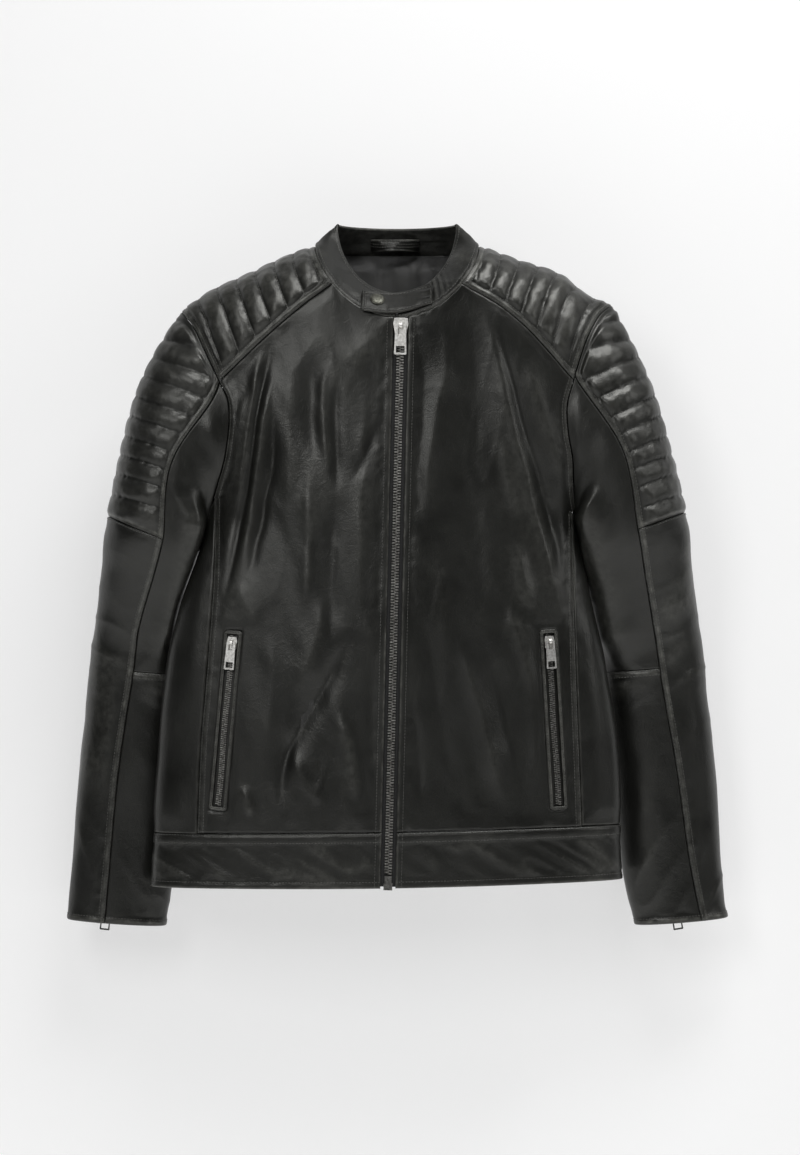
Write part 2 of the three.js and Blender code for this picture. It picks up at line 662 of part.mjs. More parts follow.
// The station where the sleeve's edge starts, a fixed gap below the armhole seam.
function sleeveStart(side, degrees) {
  return SLEEVE_GAP / sleevePoint(side, degrees, 0, 0).distanceTo(sleevePoint(side, degrees, 1, 0));
}

// A sleeve panel between two lengthwise seams and two stations. One that starts at station 0 keeps
// the gap to the armhole.
function sleevePanel(side, from, to, start, end, columns, rows, inset = 0, thickness = LEATHER) {
  const place = (u, v, w) => {
    const seamDegrees = (at) => lerp(from(at) + SLEEVE_SEAM, to(at) - SLEEVE_SEAM, u);
    const first = start > 0 ? start : sleeveStart(side, seamDegrees(0));
    const station = lerp(first, end, v);
    const degrees = seamDegrees(station);
    return sleevePoint(side, degrees, station, inset + thickness * (1 - w));
  };
  return bentPlate(columns, rows, place);
}

function sleeve(side) {
  const { frontSeam, backSeam } = SLEEVE[side];
  const name = BODY[side].name;
  const aroundBack = (station) => backSeam(station) + 360;
  const zip = cuffZipFrame(side);
  const opening = block(
    [-CUFF_ZIP.slot / 2, -CUFF_ZIP.length - CUT_REACH, -CUT_REACH],
    [CUFF_ZIP.slot / 2, CUFF_ZIP.headroom, CUT_REACH],
  );
  opening.applyMatrix4(zip);
  const pad = sleevePanel(side, backSeam, frontSeam, 0, PAD_END - CROSS_SEAM, 10, 8);
  const outer = sleevePanel(side, backSeam, frontSeam, PAD_END + CROSS_SEAM, CUFF, 8, 12);
  const upper = sleevePanel(side, frontSeam, aroundBack, 0, ELBOW - CROSS_SEAM, 8, 10);
  const lower = sleevePanel(side, frontSeam, aroundBack, ELBOW + CROSS_SEAM, CUFF, 8, 6);
  const [backLine, frontLine] = [() => -180, () => 180];
  const [start, end] = SLEEVE_LINING_SPAN;
  const lining = sleevePanel(side, backLine, frontLine, start, end, 14, 10, SLEEVE_LINING_DEPTH, LINING);
  addPart(`${name}_sleeve_pad`, pad, "quilted");
  addPart(`${name}_sleeve_outer`, cut(outer, opening), "leather");
  addPart(`${name}_sleeve_under_upper`, upper, "leather");
  addPart(`${name}_sleeve_under_lower`, cut(lower, opening), "leather");
  addPart(`${name}_sleeve_lining`, lining, "lining");
}

// ---------------------------------------------------------------- zips

// The cuff zip lies on the back seam. Its frame starts at the upper end of the zip.
function cuffZipFrame(side) {
  const angle = SLEEVE[side].backSeam(CUFF);
  const bottom = sleevePoint(side, angle, CUFF, 0);
  const above = sleevePoint(side, angle, CUFF - 1, 0);
  const around = sleevePoint(side, angle + 2, CUFF, 0).sub(sleevePoint(side, angle - 2, CUFF, 0));
  const outwards = around.cross(above.clone().sub(bottom)).multiplyScalar(-side);
  const top = bottom.clone().add(above.sub(bottom).setLength(CUFF_ZIP.length));
  return surfaceFrame(top, bottom, outwards);
}

function pocketFrame(side) {
  const { top, bottom } = BODY[side].pocket;
  const [high, low] = [skin(...top, 0, -1), skin(...bottom, 0, -1)];
  const middle = [(top[0] + bottom[0]) / 2, (top[1] + bottom[1]) / 2];
  return surfaceFrame(high, low, skinNormal(...middle, -1));
}

function mainZipFrame() {
  const top = skin(ZIP_TOP.x, ZIP_TOP.z, 0, -1);
  const bottom = skin(ZIP_BOTTOM.x, ZIP_BOTTOM.z, 0, -1);
  return surfaceFrame(top, bottom, new THREE.Vector3(0, -1, 0));
}

// A slider's body seen from the front, wide at its mouth and narrow at its tail, with its two
// flanges and the arch that holds the pull. The pull's pivot is the local origin.
function sliderBody({ mouth, tail, length, above, flangeIn, flangeDepth, plate, pivotOut, lug }) {
  const top = above;
  const bottom = above - length;
  const face = -pivotOut + plate;
  const outline = [[-tail / 2, bottom], [tail / 2, bottom], [mouth / 2, top - length * 0.35],
    [mouth / 2 - 1, top], [-mouth / 2 + 1, top], [-mouth / 2, top - length * 0.35]];
  const body = slab(outline, [], -pivotOut, face);
  const flange = (sign) => {
    const x = [sign * flangeIn, sign * (flangeIn + 0.9)].sort((a, b) => a - b);
    return block([x[0], bottom + 1, -pivotOut - flangeDepth], [x[1], top - 2, -pivotOut + 0.5]);
  };
  const profilePoints = [[-face + 0.2, -lug.outer], [0, -lug.outer],
    ...arc(0, 0, lug.outer, -90, 90, 8).map(([x, y]) => [-x, y]).slice(1), [-face + 0.2, lug.outer]];
  const arch = slab(profilePoints, [arc(0, 0, lug.inner, 0, 337.5, 15)], -lug.width / 2, lug.width / 2);
  // The arch's outline lies in the plane through the slide direction and the outward direction.
  const turn = new THREE.Matrix4().makeBasis(
    new THREE.Vector3(0, 0, -1),
    new THREE.Vector3(0, 1, 0),
    new THREE.Vector3(1, 0, 0),
  );
  arch.applyMatrix4(turn);
  return join(body, flange(-1), flange(1), arch);
}

// A pull: a thin plate that widens downwards, with a window for the slider's arch and an open
// rectangular end. Its pivot is the local origin, in the middle of its top bar.
function pullPlate({ top, bottom, length, thickness, bar, eye, window }) {
  const high = bar / 2;
  const low = high - length;
  const outline = [[-top / 2 + 0.8, high], [-top / 2, high - 0.8], [-bottom / 2, low + 0.6],
    [-bottom / 2 + 0.6, low], [bottom / 2 - 0.6, low], [bottom / 2, low + 0.6], [top / 2, high - 0.8],
    [top / 2 - 0.8, high]];
  const box = (width, from, to) => [[-width / 2, from], [-width / 2, to], [width / 2, to],
    [width / 2, from]];
  const holes = [box(eye.width, -bar / 2 - eye.length, -bar / 2),
    box(window.width, low + window.rim, low + window.rim + window.length)];
  return slab(outline, holes, -thickness / 2, thickness / 2);
}

const MAIN_SLIDER = {
  mouth: 15.6, tail: 11, length: 17, above: 7.6, flangeIn: 4.7, flangeDepth: 3.2, plate: 1.4,
  pivotOut: 4.3, lug: { outer: 2.9, inner: 1.6, width: 3.2 },
};
const MAIN_PULL = {
  top: 10.8, bottom: 12.5, length: 31, thickness: 1.5, bar: 2, eye: { width: 5.6, length: 8.3 },
  window: { width: 8.7, length: 6.8, rim: 1.9 },
};
const SMALL_SLIDER = {
  mouth: 10.6, tail: 8, length: 13, above: 5.4, flangeIn: 3.9, flangeDepth: 2.6, plate: 1.2,
  pivotOut: 3.8, lug: { outer: 2.6, inner: 1.5, width: 2.6 },
};
const SMALL_PULL = {
  top: 9, bottom: 10.4, length: 29, thickness: 1.3, bar: 1.8, eye: { width: 4.4, length: 7 },
  window: { width: 7.4, length: 6, rim: 1.7 },
};

const PLATE_CLEARANCE = 0.6; // skin to the back of a slider's plate

// Adds a slider and its pull at a distance down the zip.
function sliderAndPull(name, frame, slider, pull, down) {
  const out = PLATE_CLEARANCE + slider.pivotOut;
  const seat = frame.clone().multiply(new THREE.Matrix4().makeTranslation(0, -down, out));
  addPart(`${name}_slider`, sliderBody(slider), "nickel", seat);
  addPart(`${name}_pull`, pullPlate(pull), "nickel", seat);
}

// Tape or teeth as a straight bar down the zip: across from x0 to x1, down from y0 to y1.
function zipBar(x0, x1, down0, down1, depth, thickness) {
  return block([x0, -down1, -depth - thickness], [x1, -down0, -depth]);
}

const MAIN_TAPE_HALF_WIDTH = 17;
const MAIN_SLIDER_DOWN = 8; // top of the zip to the slider's pivot
const POCKET_SLIDER_DOWN = 8;
const CUFF_SLIDER_UP = 16.5;
const MAIN_CHAIN_SHORT = 12.5; // end of the teeth to the end of the zip
const PIN_LENGTH = 7;

function mainZip() {
  const frame = mainZipFrame();
  const length = Math.hypot(ZIP_TOP.x - ZIP_BOTTOM.x, ZIP_TOP.z - ZIP_BOTTOM.z);
  const chainEnd = length - MAIN_CHAIN_SHORT;
  for (const side of [-1, 1]) {
    const span = (near, far) => (side < 0 ? [-far, -near] : [near, far]);
    const name = BODY[side].name;
    const tape = zipBar(...span(0.25, MAIN_TAPE_HALF_WIDTH), 2, length - 1, TAPE_DEPTH, TAPE_THICKNESS);
    const teeth = zipBar(...span(0.2, CHAIN_HALF_WIDTH), 3, chainEnd, TEETH_TOP_DEPTH, TEETH_THICKNESS);
    const stop = zipBar(...span(0.4, CHAIN_HALF_WIDTH), 0, 2.6, TEETH_TOP_DEPTH, TEETH_THICKNESS);
    addPart(`main_zip_tape_${name}`, tape, "tape", frame);
    addPart(`main_zip_teeth_${name}`, teeth, "nickel", frame);
    addPart(`main_zip_top_stop_${name}`, stop, "nickel", frame);
  }
  const pin = zipBar(-3.5, 3.5, chainEnd + 0.4, chainEnd + 0.4 + PIN_LENGTH, 0.2, 2.8);
  const box = zipBar(-4.5, 4.5, chainEnd + 0.8 + PIN_LENGTH, length + 2.4, 0, 3);
  addPart("main_zip_pin", pin, "nickel", frame);
  addPart("main_zip_box", box, "nickel", frame);
  sliderAndPull("main_zip", frame, MAIN_SLIDER, MAIN_PULL, MAIN_SLIDER_DOWN);
}

function pocket(side) {
  const name = BODY[side].name;
  const frame = pocketFrame(side);
  const { width, length, slot, slotLength } = POCKET_FRAME;
  const rim = (length - slotLength) / 2;
  const ring = (half, margin, reach) =>
    block([-half, -length + rim + margin, -reach], [half, rim - margin, reach]);
  const panel = frontPanel(side);
  const panelHole = ring(width / 2 + SEAM_GAP, -SEAM_GAP, CUT_REACH).applyMatrix4(frame);
  const welt = cut(ring(width / 2, 0, LEATHER / 2), ring(slot / 2, rim, CUT_REACH));
  welt.translate(0, 0, -LEATHER / 2);
  const chain = POCKET_CHAIN_HALF_WIDTH;
  addPart(`${name}_front_panel`, cut(panel, panelHole), "leather");
  addPart(`${name}_pocket_welt`, welt, "leather", frame);
  const half = POCKET_TAPE_HALF_WIDTH;
  const tape = zipBar(-half, half, -rim, slotLength + rim, TAPE_DEPTH, TAPE_THICKNESS);
  const teeth = zipBar(-chain, chain, 1, slotLength - 1, TEETH_TOP_DEPTH, TEETH_THICKNESS);
  addPart(`${name}_pocket_zip_tape`, tape, "tape", frame);
  addPart(`${name}_pocket_zip_teeth`, teeth, "nickel", frame);
  addPart(`${name}_pocket_bag`, pocketBag(side), "lining");
  sliderAndPull(`${name}_pocket`, frame, SMALL_SLIDER, SMALL_PULL, POCKET_SLIDER_DOWN);
}

const BAG = { reach: 105, pastZip: 4, top: -425, bottom: -590, depth: 6.2, thickness: 1.2 };

// The pocket bag hangs between the front panel and its lining, from the zip towards the centre.
function pocketBag(side) {
  const place = (u, v, w) => {
    const z = lerp(BAG.bottom, BAG.top, v);
    const outer = Math.abs(BODY[side].pocket.top[0]) + BAG.pastZip;
    const x = side * lerp(outer, outer - BAG.reach, u);
    return skin(x, z, BAG.depth + BAG.thickness * (1 - w), -1);
  };
  return bentPlate(5, 3, place);
}

function cuffZip(side) {
  const name = BODY[side].name;
  const frame = cuffZipFrame(side);
  const { length, chainHalfWidth, tapeHalf } = CUFF_ZIP;
  const tape = zipBar(-tapeHalf, tapeHalf, 0, length - 3, CUFF_ZIP.tapeDepth, TAPE_THICKNESS);
  const teeth = zipBar(-chainHalfWidth, chainHalfWidth, 2, length - 4, TEETH_TOP_DEPTH, TEETH_THICKNESS);
  addPart(`${name}_cuff_zip_tape`, tape, "tape", frame);
  addPart(`${name}_cuff_zip_teeth`, teeth, "nickel", frame);
  sliderAndPull(`${name}_cuff`, frame, SMALL_SLIDER, SMALL_PULL, length - CUFF_SLIDER_UP);
}

// ---------------------------------------------------------------- assembly

addPart("back_panel", backSheet(PANEL), "leather");
addPart("collar_band", collarBand(), "leather");
addPart("collar_tab", collarTab(), "leather");
snapParts();
addPart("hanger_loop", hangerLoop(), "leather");
addPart("hem_band_back", hemBack(), "leather");
addPart("lining_back", backSheet(LINER), "lining");
mainZip();
for (const side of [-1, 1]) {
  const name = BODY[side].name;
  pocket(side);
  addPart(`${name}_side_panel`, sidePanel(side), "leather");
  addPart(`${name}_shoulder_yoke`, shoulderYoke(side), "quilted");
  addPart(`${name}_hem_band`, hemFront(side), "leather");
  addPart(`${name}_front_lining`, frontLining(side), "lining");
  sleeve(side);
  cuffZip(side);
}

export default root;
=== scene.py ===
import math
import bpy
import numpy as np
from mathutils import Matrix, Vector


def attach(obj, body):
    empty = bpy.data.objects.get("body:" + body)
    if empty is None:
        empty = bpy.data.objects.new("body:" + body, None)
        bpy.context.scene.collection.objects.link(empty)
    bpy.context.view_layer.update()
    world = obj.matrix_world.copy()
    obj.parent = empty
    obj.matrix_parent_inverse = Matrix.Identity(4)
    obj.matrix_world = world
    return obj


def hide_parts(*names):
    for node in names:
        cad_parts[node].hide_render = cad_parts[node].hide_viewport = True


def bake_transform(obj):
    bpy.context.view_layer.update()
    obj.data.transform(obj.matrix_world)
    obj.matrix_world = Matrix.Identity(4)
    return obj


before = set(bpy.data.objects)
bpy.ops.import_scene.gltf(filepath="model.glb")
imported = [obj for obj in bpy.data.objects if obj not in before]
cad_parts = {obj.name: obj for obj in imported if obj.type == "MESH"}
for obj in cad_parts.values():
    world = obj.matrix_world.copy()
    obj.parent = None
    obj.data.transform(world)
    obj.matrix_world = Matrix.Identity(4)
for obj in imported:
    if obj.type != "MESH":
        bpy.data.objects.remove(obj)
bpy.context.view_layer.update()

MM = 0.001
RIGHT, LEFT = -1, 1
NAME = {RIGHT: "right", LEFT: "left"}

# ------------------------------------------------------------------ driving dimensions (mm)

LEATHER = 2.4
BAND_LEATHER = 3.0
LINING_DEPTH = 8.4
LINING_THICKNESS = 0.8
LINING_MARGIN = 2.0
FACING_WIDTH = 40  # from the zip to the front lining
SLEEVE_LINING_DEPTH = 7.0
SEAM = 0.15  # from a seam line to the edge of the leather beside it
SEAM_DEGREES = 0.15  # the same on a sleeve, as an angle round it
SLEEVE_HEAD_GAP = 0.3  # from the armhole to the sleeve's leather

SIDE_PLANE_Y = -38
FRONT_DEPTH = 52
BACK_DEPTH = 62
SQUARENESS = 0.45
SHOULDER_ROUND = 70

NECK_HALF_WIDTH = 85
NECK_SIDE_Z = -5
NECK_FRONT_DROP = 76
NECK_BACK_DROP = 3
NECK_RISE = 110
NECK_RISE_HALF_WIDTH = 90
YOKE_NECK_X = 66

COLLAR_TOP_HALF_WIDTH = 61
COLLAR_TOP_FRONT_DEPTH = 30
COLLAR_TOP_BACK_DEPTH = 36
COLLAR_TOP_Z = 19
COLLAR_FRONT_DIP = 74
COLLAR_BACK_DIP = 1.5
COLLAR_BULGE = 1.5
COLLAR_SLIT = 0.9

ZIP_TOP = (4.1, -82.4)
ZIP_BOTTOM = (-9.3, -664.4)
ZIP_OPENING = 7.7
POCKET = dict(width=20, length=186, slot_length=177, corner=4.6)
POCKET_CALM = dict(half_width=11, above=6, below=183)  # the front lies flat here, round the pocket zip
POCKET_SLOT = dict(inner=6.6, outer=8.6, half_length=84, depth=5)  # the front sinks here, under the zip
CUFF_ZIP_LENGTH = 112
ARMPIT_SNUG, ARMPIT_REACH = 2.2, 12
CUFF_OPENING = dict(degrees=8.8, start=6.2, end=6.5)  # along the sleeve's stations
TOOTH_DEPTH = 0.1  # below the leather's skin

BAND_BOTTOM_Z, BAND_TOP_Z = -667, -604

PANEL_ROWS = (1.6, 6.4)  # double stitching, measured from the seam
QUILT_ROWS = (1.6, 6.2)
STITCH_PITCH = 3.3
STITCH_LENGTH = 2.5
THREAD_RADIUS = 0.33
RIB_HEIGHT = 4.2
YOKE_RIBS = 7

# The cloth simulation of the quilting: its grid, how far from a stitched line (a share of a rib) and from
# a seam it is held, how much fuller than flat the leather is cut, its pressure and frames, the highest it
# may stand, its share in the ribs' height (a formula gives the rest), and how often it is smoothed.
CLOTH_STEP = 2.4
HELD_PHASE = 0.065
HELD_MARGIN = 6.5
CLOTH_FULLNESS = 0.012
CLOTH_PRESSURE = 5.0
CLOTH_FRAMES = 16
CLOTH_CAP = 1.35
CLOTH_SHARE = 0.32
CLOTH_SMOOTHING = 3

# ------------------------------------------------------------------ curves and noise


def profile(*points):
    """A smooth curve through (key, value) points with rising keys, level past its ends."""
    keys, values = np.array(points, float).T
    last = len(keys) - 1
    before = np.maximum(np.arange(last + 1) - 1, 0)
    after = np.minimum(np.arange(last + 1) + 1, last)
    slope = (values[after] - values[before]) / (keys[after] - keys[before])

    def curve(key):
        key = np.clip(key, keys[0], keys[-1])
        i = np.clip(np.searchsorted(keys, key, side="right") - 1, 0, last - 1)
        span = keys[i + 1] - keys[i]
        t = (key - keys[i]) / span
        s = 1 - t
        return (
            values[i] * s * s * (1 + 2 * t)
            + slope[i] * span * t * s * s
            + values[i + 1] * t * t * (3 - 2 * t)
            - slope[i + 1] * span * t * t * s
        )

    return curve


def lerp(a, b, t):
    return a + (b - a) * t


def smooth(low, high, x):
    t = np.clip((x - low) / (high - low), 0, 1)
    return t * t * (3 - 2 * t)


def point(x, y, z):
    return np.stack(np.broadcast_arrays(x, y, z), axis=-1).astype(float)


def unit(v):
    return v / np.maximum(np.linalg.norm(v, axis=-1, keepdims=True), 1e-9)


def lattice(i, j, k, seed):
    h = (i * 374761393 + j * 668265263 + k * 1274126177 + seed * 974634777) & 0xFFFFFFFF
    h = ((h ^ (h >> 13)) * 1103515245) & 0xFFFFFFFF
    h = h ^ (h >> 16)
    return h / 4294967295.0 * 2 - 1


def noise(p, size, seed=0):
    """Smooth value noise from -1 to 1 over points in mm. size is one length, or one for each axis."""
    q = p / np.asarray(size, float)
    cell = np.floor(q).astype(np.int64)
    t = q - cell
    t = t * t * t * (t * (6 * t - 15) + 10)
    total = np.zeros(p.shape[:-1])
    for corner in range(8):
        step = [corner & 1, (corner >> 1) & 1, corner >> 2]
        weight = 1
        for axis in range(3):
            weight = weight * (t[..., axis] if step[axis] else 1 - t[..., axis])
        total += weight * lattice(*(cell[..., a] + step[a] for a in range(3)), seed)
    return total


def creases(p, size, seed=0):
    """Sharp-crested noise, from 0 in the flats to 1 along its crests."""
    return (1 - np.abs(noise(p, size, seed))) ** 4


def turned(p, degrees):
    """Points turned about Y, so that stretched noise can run along a slope."""
    c, s = math.cos(math.radians(degrees)), math.sin(math.radians(degrees))
    return point(c * p[..., 0] + s * p[..., 2], p[..., 1], -s * p[..., 0] + c * p[..., 2])


# ------------------------------------------------------------------ the body's shape (mm)

HEM_SEAM_Z = profile((-260, -611), (0, -608), (240, -602))
HEM_BOTTOM_Z = profile((-260, -667), (0, -665), (240, -659))

BODY = {
    RIGHT: dict(
        edge=profile((-667, 255), (-556, 248), (-451, 239), (-380, 224), (-330, 207), (-288, 195.5),
                     (-250, 203), (-181, 232), (-100, 242), (0, 242)),
        princess=profile((-667, 207), (-525, 202), (-463, 197), (-386, 191), (-340, 188.5), (-266, 187.5)),
        armhole=profile((-288, 195), (-261, 187.5), (-229, 178), (-206, 174), (-181, 172), (-162, 174.5),
                        (-148, 182), (-133, 189), (-112, 199), (-90, 210), (-73, 223.5)),
        armhole_top=-73, armpit=-288, side_seam_top=-266,
        shoulder=profile((85, -5), (109, -13), (143, -29), (183, -47), (204, -59), (223.5, -73)),
        yoke_front=profile((66, -47), (94, -67), (132, -99), (181, -145)), yoke_front_end=-145,
        yoke_back=profile((66, -7), (120, -62), (190.5, -130)), yoke_back_end=-130,
        pocket=((-168, -406), (-184, -585)),
    ),
    LEFT: dict(
        edge=profile((-667, 233), (-603, 231), (-510, 225), (-420, 211), (-371, 199), (-324, 189.5),
                     (-284, 184.5), (-250, 196), (-181, 228), (-100, 242), (0, 242)),
        princess=profile((-667, 191), (-603, 190), (-556, 188.5), (-463, 185), (-371, 182.5), (-280, 181)),
        armhole=profile((-284, 184), (-244, 181.5), (-224, 180.5), (-200, 176), (-171, 174.6),
                        (-145, 181.5), (-131, 185.5), (-101, 196), (-76, 210), (-66, 222.5)),
        armhole_top=-66, armpit=-284, side_seam_top=-280,
        shoulder=profile((85, -5), (127, -20), (168, -34), (197, -56), (222.5, -66)),
        yoke_front=profile((66, -47), (106, -70), (137, -96), (181, -145)), yoke_front_end=-145,
        yoke_back=profile((66, -7), (120, -62), (186.5, -130)), yoke_back_end=-130,
        pocket=((155.5, -405), (166, -585)),
    ),
}

# Each ring of a sleeve: outer and inner point seen from the front, how far behind the side plane,
# and its half depth.
PAD_END, ELBOW, CUFF = 2, 5, 8
ELBOW_Z = -440
SLEEVE_SQUARENESS = 0.95
SLEEVE = {
    RIGHT: dict(
        rings=[((268, -153), (201, -303), 4, 44), ((300, -284), (209, -322), 10, 42),
               ((308, -338), (218, -356), 25, 39), ((316, -395), (225, -404), 44, 37),
               ((322, -441), (214, -451), 52, 35), ((334, -556), (222, -560), 55, 33),
               ((341, -640), (232, -645), 52, 28), ((346, -706), (243, -713), 49.5, 24)],
        front=profile((0, 72), (2, 108), (5, 83), (6, 76), (8, 78)),
        back=profile((0, -72), (2, -88), (5, -82), (6, -75), (8, -75)),
    ),
    LEFT: dict(
        rings=[((265, -155), (188, -298), 4, 44), ((299, -280), (196, -316), 10, 42),
               ((307, -335), (206, -350), 25, 39), ((316, -392), (214, -402), 42, 37),
               ((323, -438), (216, -447), 50, 35), ((335, -553), (226, -557), 54, 33),
               ((341, -640), (235, -645), 51.5, 28), ((347, -704), (250, -712), 49, 24)],
        front=profile((0, 72), (2, 90), (5, 86), (6, 77), (8, 66)),
        back=profile((0, -72), (2, -88), (5, -90), (6, -93), (8, -93)),
    ),
}


def shoulder_z(x):
    rise = np.maximum(0, 1 - (x / NECK_RISE_HALF_WIDTH) ** 2)
    ridge_z = np.where(x < 0, BODY[RIGHT]["shoulder"](np.abs(x)), BODY[LEFT]["shoulder"](np.abs(x)))
    return ridge_z + NECK_RISE * rise * rise


def centre_x(z):
    return (BODY[LEFT]["edge"](z) - BODY[RIGHT]["edge"](z)) / 2


def half_width(z):
    return (BODY[LEFT]["edge"](z) + BODY[RIGHT]["edge"](z)) / 2


def skin_y(x, z, inset, facing):
    """The body's skin moved in by an inset, on the front (facing -1) or the back (facing 1)."""
    drop = np.clip((shoulder_z(x) - inset - z) / SHOULDER_ROUND, 0, 1)
    ridge = np.sqrt(1 - (1 - drop) ** 2)
    across = np.clip((x - centre_x(z)) / (half_width(z) - inset), -1, 1)
    depth = np.where(facing < 0, FRONT_DEPTH, BACK_DEPTH) - inset
    return SIDE_PLANE_Y + facing * depth * (1 - across * across) ** SQUARENESS * ridge


def skin(x, z, inset, facing):
    return point(x, skin_y(x, z, inset, facing), z)


def skin_round(side, angle, z, inset, facing):
    reach = half_width(z) - inset
    depth = np.where(facing < 0, FRONT_DEPTH, BACK_DEPTH) - inset
    fullness = np.abs(np.sin(angle)) ** (2 * SQUARENESS)
    return point(centre_x(z) + side * reach * np.cos(angle), SIDE_PLANE_Y + facing * depth * fullness, z)


def neck_cosine(x):
    return np.sqrt(np.maximum(0, 1 - (x / NECK_HALF_WIDTH) ** 2))


def neck_front_z(x):
    return NECK_SIDE_Z - NECK_FRONT_DROP * neck_cosine(x) ** 1.3


def neck_back_z(x):
    return NECK_SIDE_Z - NECK_BACK_DROP * neck_cosine(x)


def zip_x(z):
    return lerp(ZIP_TOP[0], ZIP_BOTTOM[0], (z - ZIP_TOP[1]) / (ZIP_BOTTOM[1] - ZIP_TOP[1]))


def panel_edge(side, z, margin=SEAM):
    body = BODY[side]
    return np.where(z > body["side_seam_top"], body["armhole"](z), body["princess"](z)) - margin


def row_z(v, low, middle, high):
    return np.where(v <= 0.5, lerp(low, middle, 2 * v), lerp(middle, high, 2 * v - 1))


def front_point(side, inner_edge, margin=SEAM):
    body = BODY[side]
    outer_top = panel_edge(side, body["yoke_front_end"], margin)
    inner_top = inner_edge(ZIP_TOP[1])

    def place(u, v, inset):
        top_x = lerp(outer_top, inner_top, u)
        seam = np.where(top_x > YOKE_NECK_X, body["yoke_front"](top_x), neck_front_z(top_x))
        bottom = HEM_SEAM_Z(side * top_x) + margin
        z = row_z(v, bottom, body["side_seam_top"], seam - margin)
        outer = panel_edge(side, np.minimum(z, body["yoke_front_end"]), margin)
        return skin(side * lerp(outer, inner_edge(z), u), z, inset, -1)

    kink = (outer_top - YOKE_NECK_X) / (outer_top - inner_top)
    return place, float(kink)


def back_point(margin=SEAM):
    def place(u, v, inset):
        side = np.where(u < 0.5, RIGHT, LEFT)
        a = np.abs(2 * u - 1)
        parts = []
        for s in (RIGHT, LEFT):
            body = BODY[s]
            outer_top = panel_edge(s, body["yoke_back_end"], margin)
            top_x = a * outer_top
            seam = np.where(top_x > YOKE_NECK_X, body["yoke_back"](top_x), neck_back_z(top_x))
            bottom = HEM_SEAM_Z(s * top_x) + margin
            z = row_z(v, bottom, body["side_seam_top"], seam - margin)
            edge = panel_edge(s, np.minimum(z, body["yoke_back_end"]), margin)
            parts.append(skin(s * edge * a, z, inset, 1))
        return np.where((side == RIGHT)[..., None], parts[0], parts[1])

    return place


def side_point(side):
    body = BODY[side]

    def place(u, v, inset):
        turn = 2 * u - 1
        facing = np.where(turn < 0, -1, 1)
        top = lerp(body["armpit"], body["side_seam_top"], turn * turn) - SEAM
        low = HEM_SEAM_Z(side * body["edge"](BAND_TOP_Z)) + SEAM
        z = lerp(low, top, v)
        seam_x = side * (body["princess"](z) + SEAM)
        reach = np.clip(side * (seam_x - centre_x(z)) / (half_width(z) - inset), 0, 1)
        return skin_round(side, np.abs(turn) * np.arccos(reach), z, inset, facing)

    return place


def yoke_point(side):
    body = BODY[side]
    tip_x = float(body["armhole"](body["armhole_top"]))

    def patch(u, f, facing):
        seam, seam_end, neck_z = (
            (body["yoke_front"], body["yoke_front_end"], neck_front_z)
            if facing < 0
            else (body["yoke_back"], body["yoke_back_end"], neck_back_z)
        )
        fall = f * f

        def drop(x, z):
            return shoulder_z(side * x) - z

        def seam_at(k):
            x = lerp(YOKE_NECK_X, body["armhole"](seam_end), k)
            z = np.where(k <= 0, neck_z(YOKE_NECK_X), seam(x))
            return x, drop(x, z)

        def ridge_at(k):
            return lerp(NECK_HALF_WIDTH, tip_x, k), 0 * k

        neck_x = NECK_HALF_WIDTH * np.sqrt(1 - (f * neck_cosine(YOKE_NECK_X)) ** 2)
        arm_z = lerp(body["armhole_top"], seam_end, fall)
        arm_x = body["armhole"](arm_z)
        neck = neck_x, drop(neck_x, neck_z(neck_x))
        arm = arm_x, drop(arm_x, arm_z)
        zero, one = 0 * u, 0 * u + 1
        mixed = []
        for i in (0, 1):
            edges = lerp(ridge_at(u)[i], seam_at(u)[i], fall) + lerp(neck[i], arm[i], u)
            corners = lerp(
                lerp(ridge_at(zero)[i], seam_at(zero)[i], fall),
                lerp(ridge_at(one)[i], seam_at(one)[i], fall),
                u,
            )
            mixed.append(edges - corners)
        return mixed[0], np.maximum(0, mixed[1])

    def place(u, v, inset):
        turn = 2 * v - 1
        halves = []
        for facing in (-1, 1):
            x, fall = patch(lerp(0.003, 0.998, u), np.abs(turn) * 0.999, facing)
            sunk = inset * (1 - turn * turn)
            halves.append(skin(side * x, shoulder_z(side * x) - sunk - fall, inset, facing))
        return np.where((turn < 0)[..., None], halves[0], halves[1])

    return place


def hem_point(side, facing):
    def place(u, v, inset):
        z = lerp(BAND_BOTTOM_Z, BAND_TOP_Z, v)
        if facing < 0:
            edge = ZIP_OPENING + side * zip_x(z)
            start = np.arccos((edge - side * centre_x(z)) / half_width(z))
            angle = lerp(start, 0, u)
            p = skin_round(side, angle, z, inset, -1)
        else:
            which = np.where(u < 0.5, RIGHT, LEFT)
            angle = lerp(0, np.pi / 2, 1 - np.abs(2 * u - 1))
            p = skin_round(which, angle, z, inset, 1)
        p[..., 2] = lerp(HEM_BOTTOM_Z(p[..., 0]), HEM_SEAM_Z(p[..., 0]) - SEAM, v)
        return p

    return place


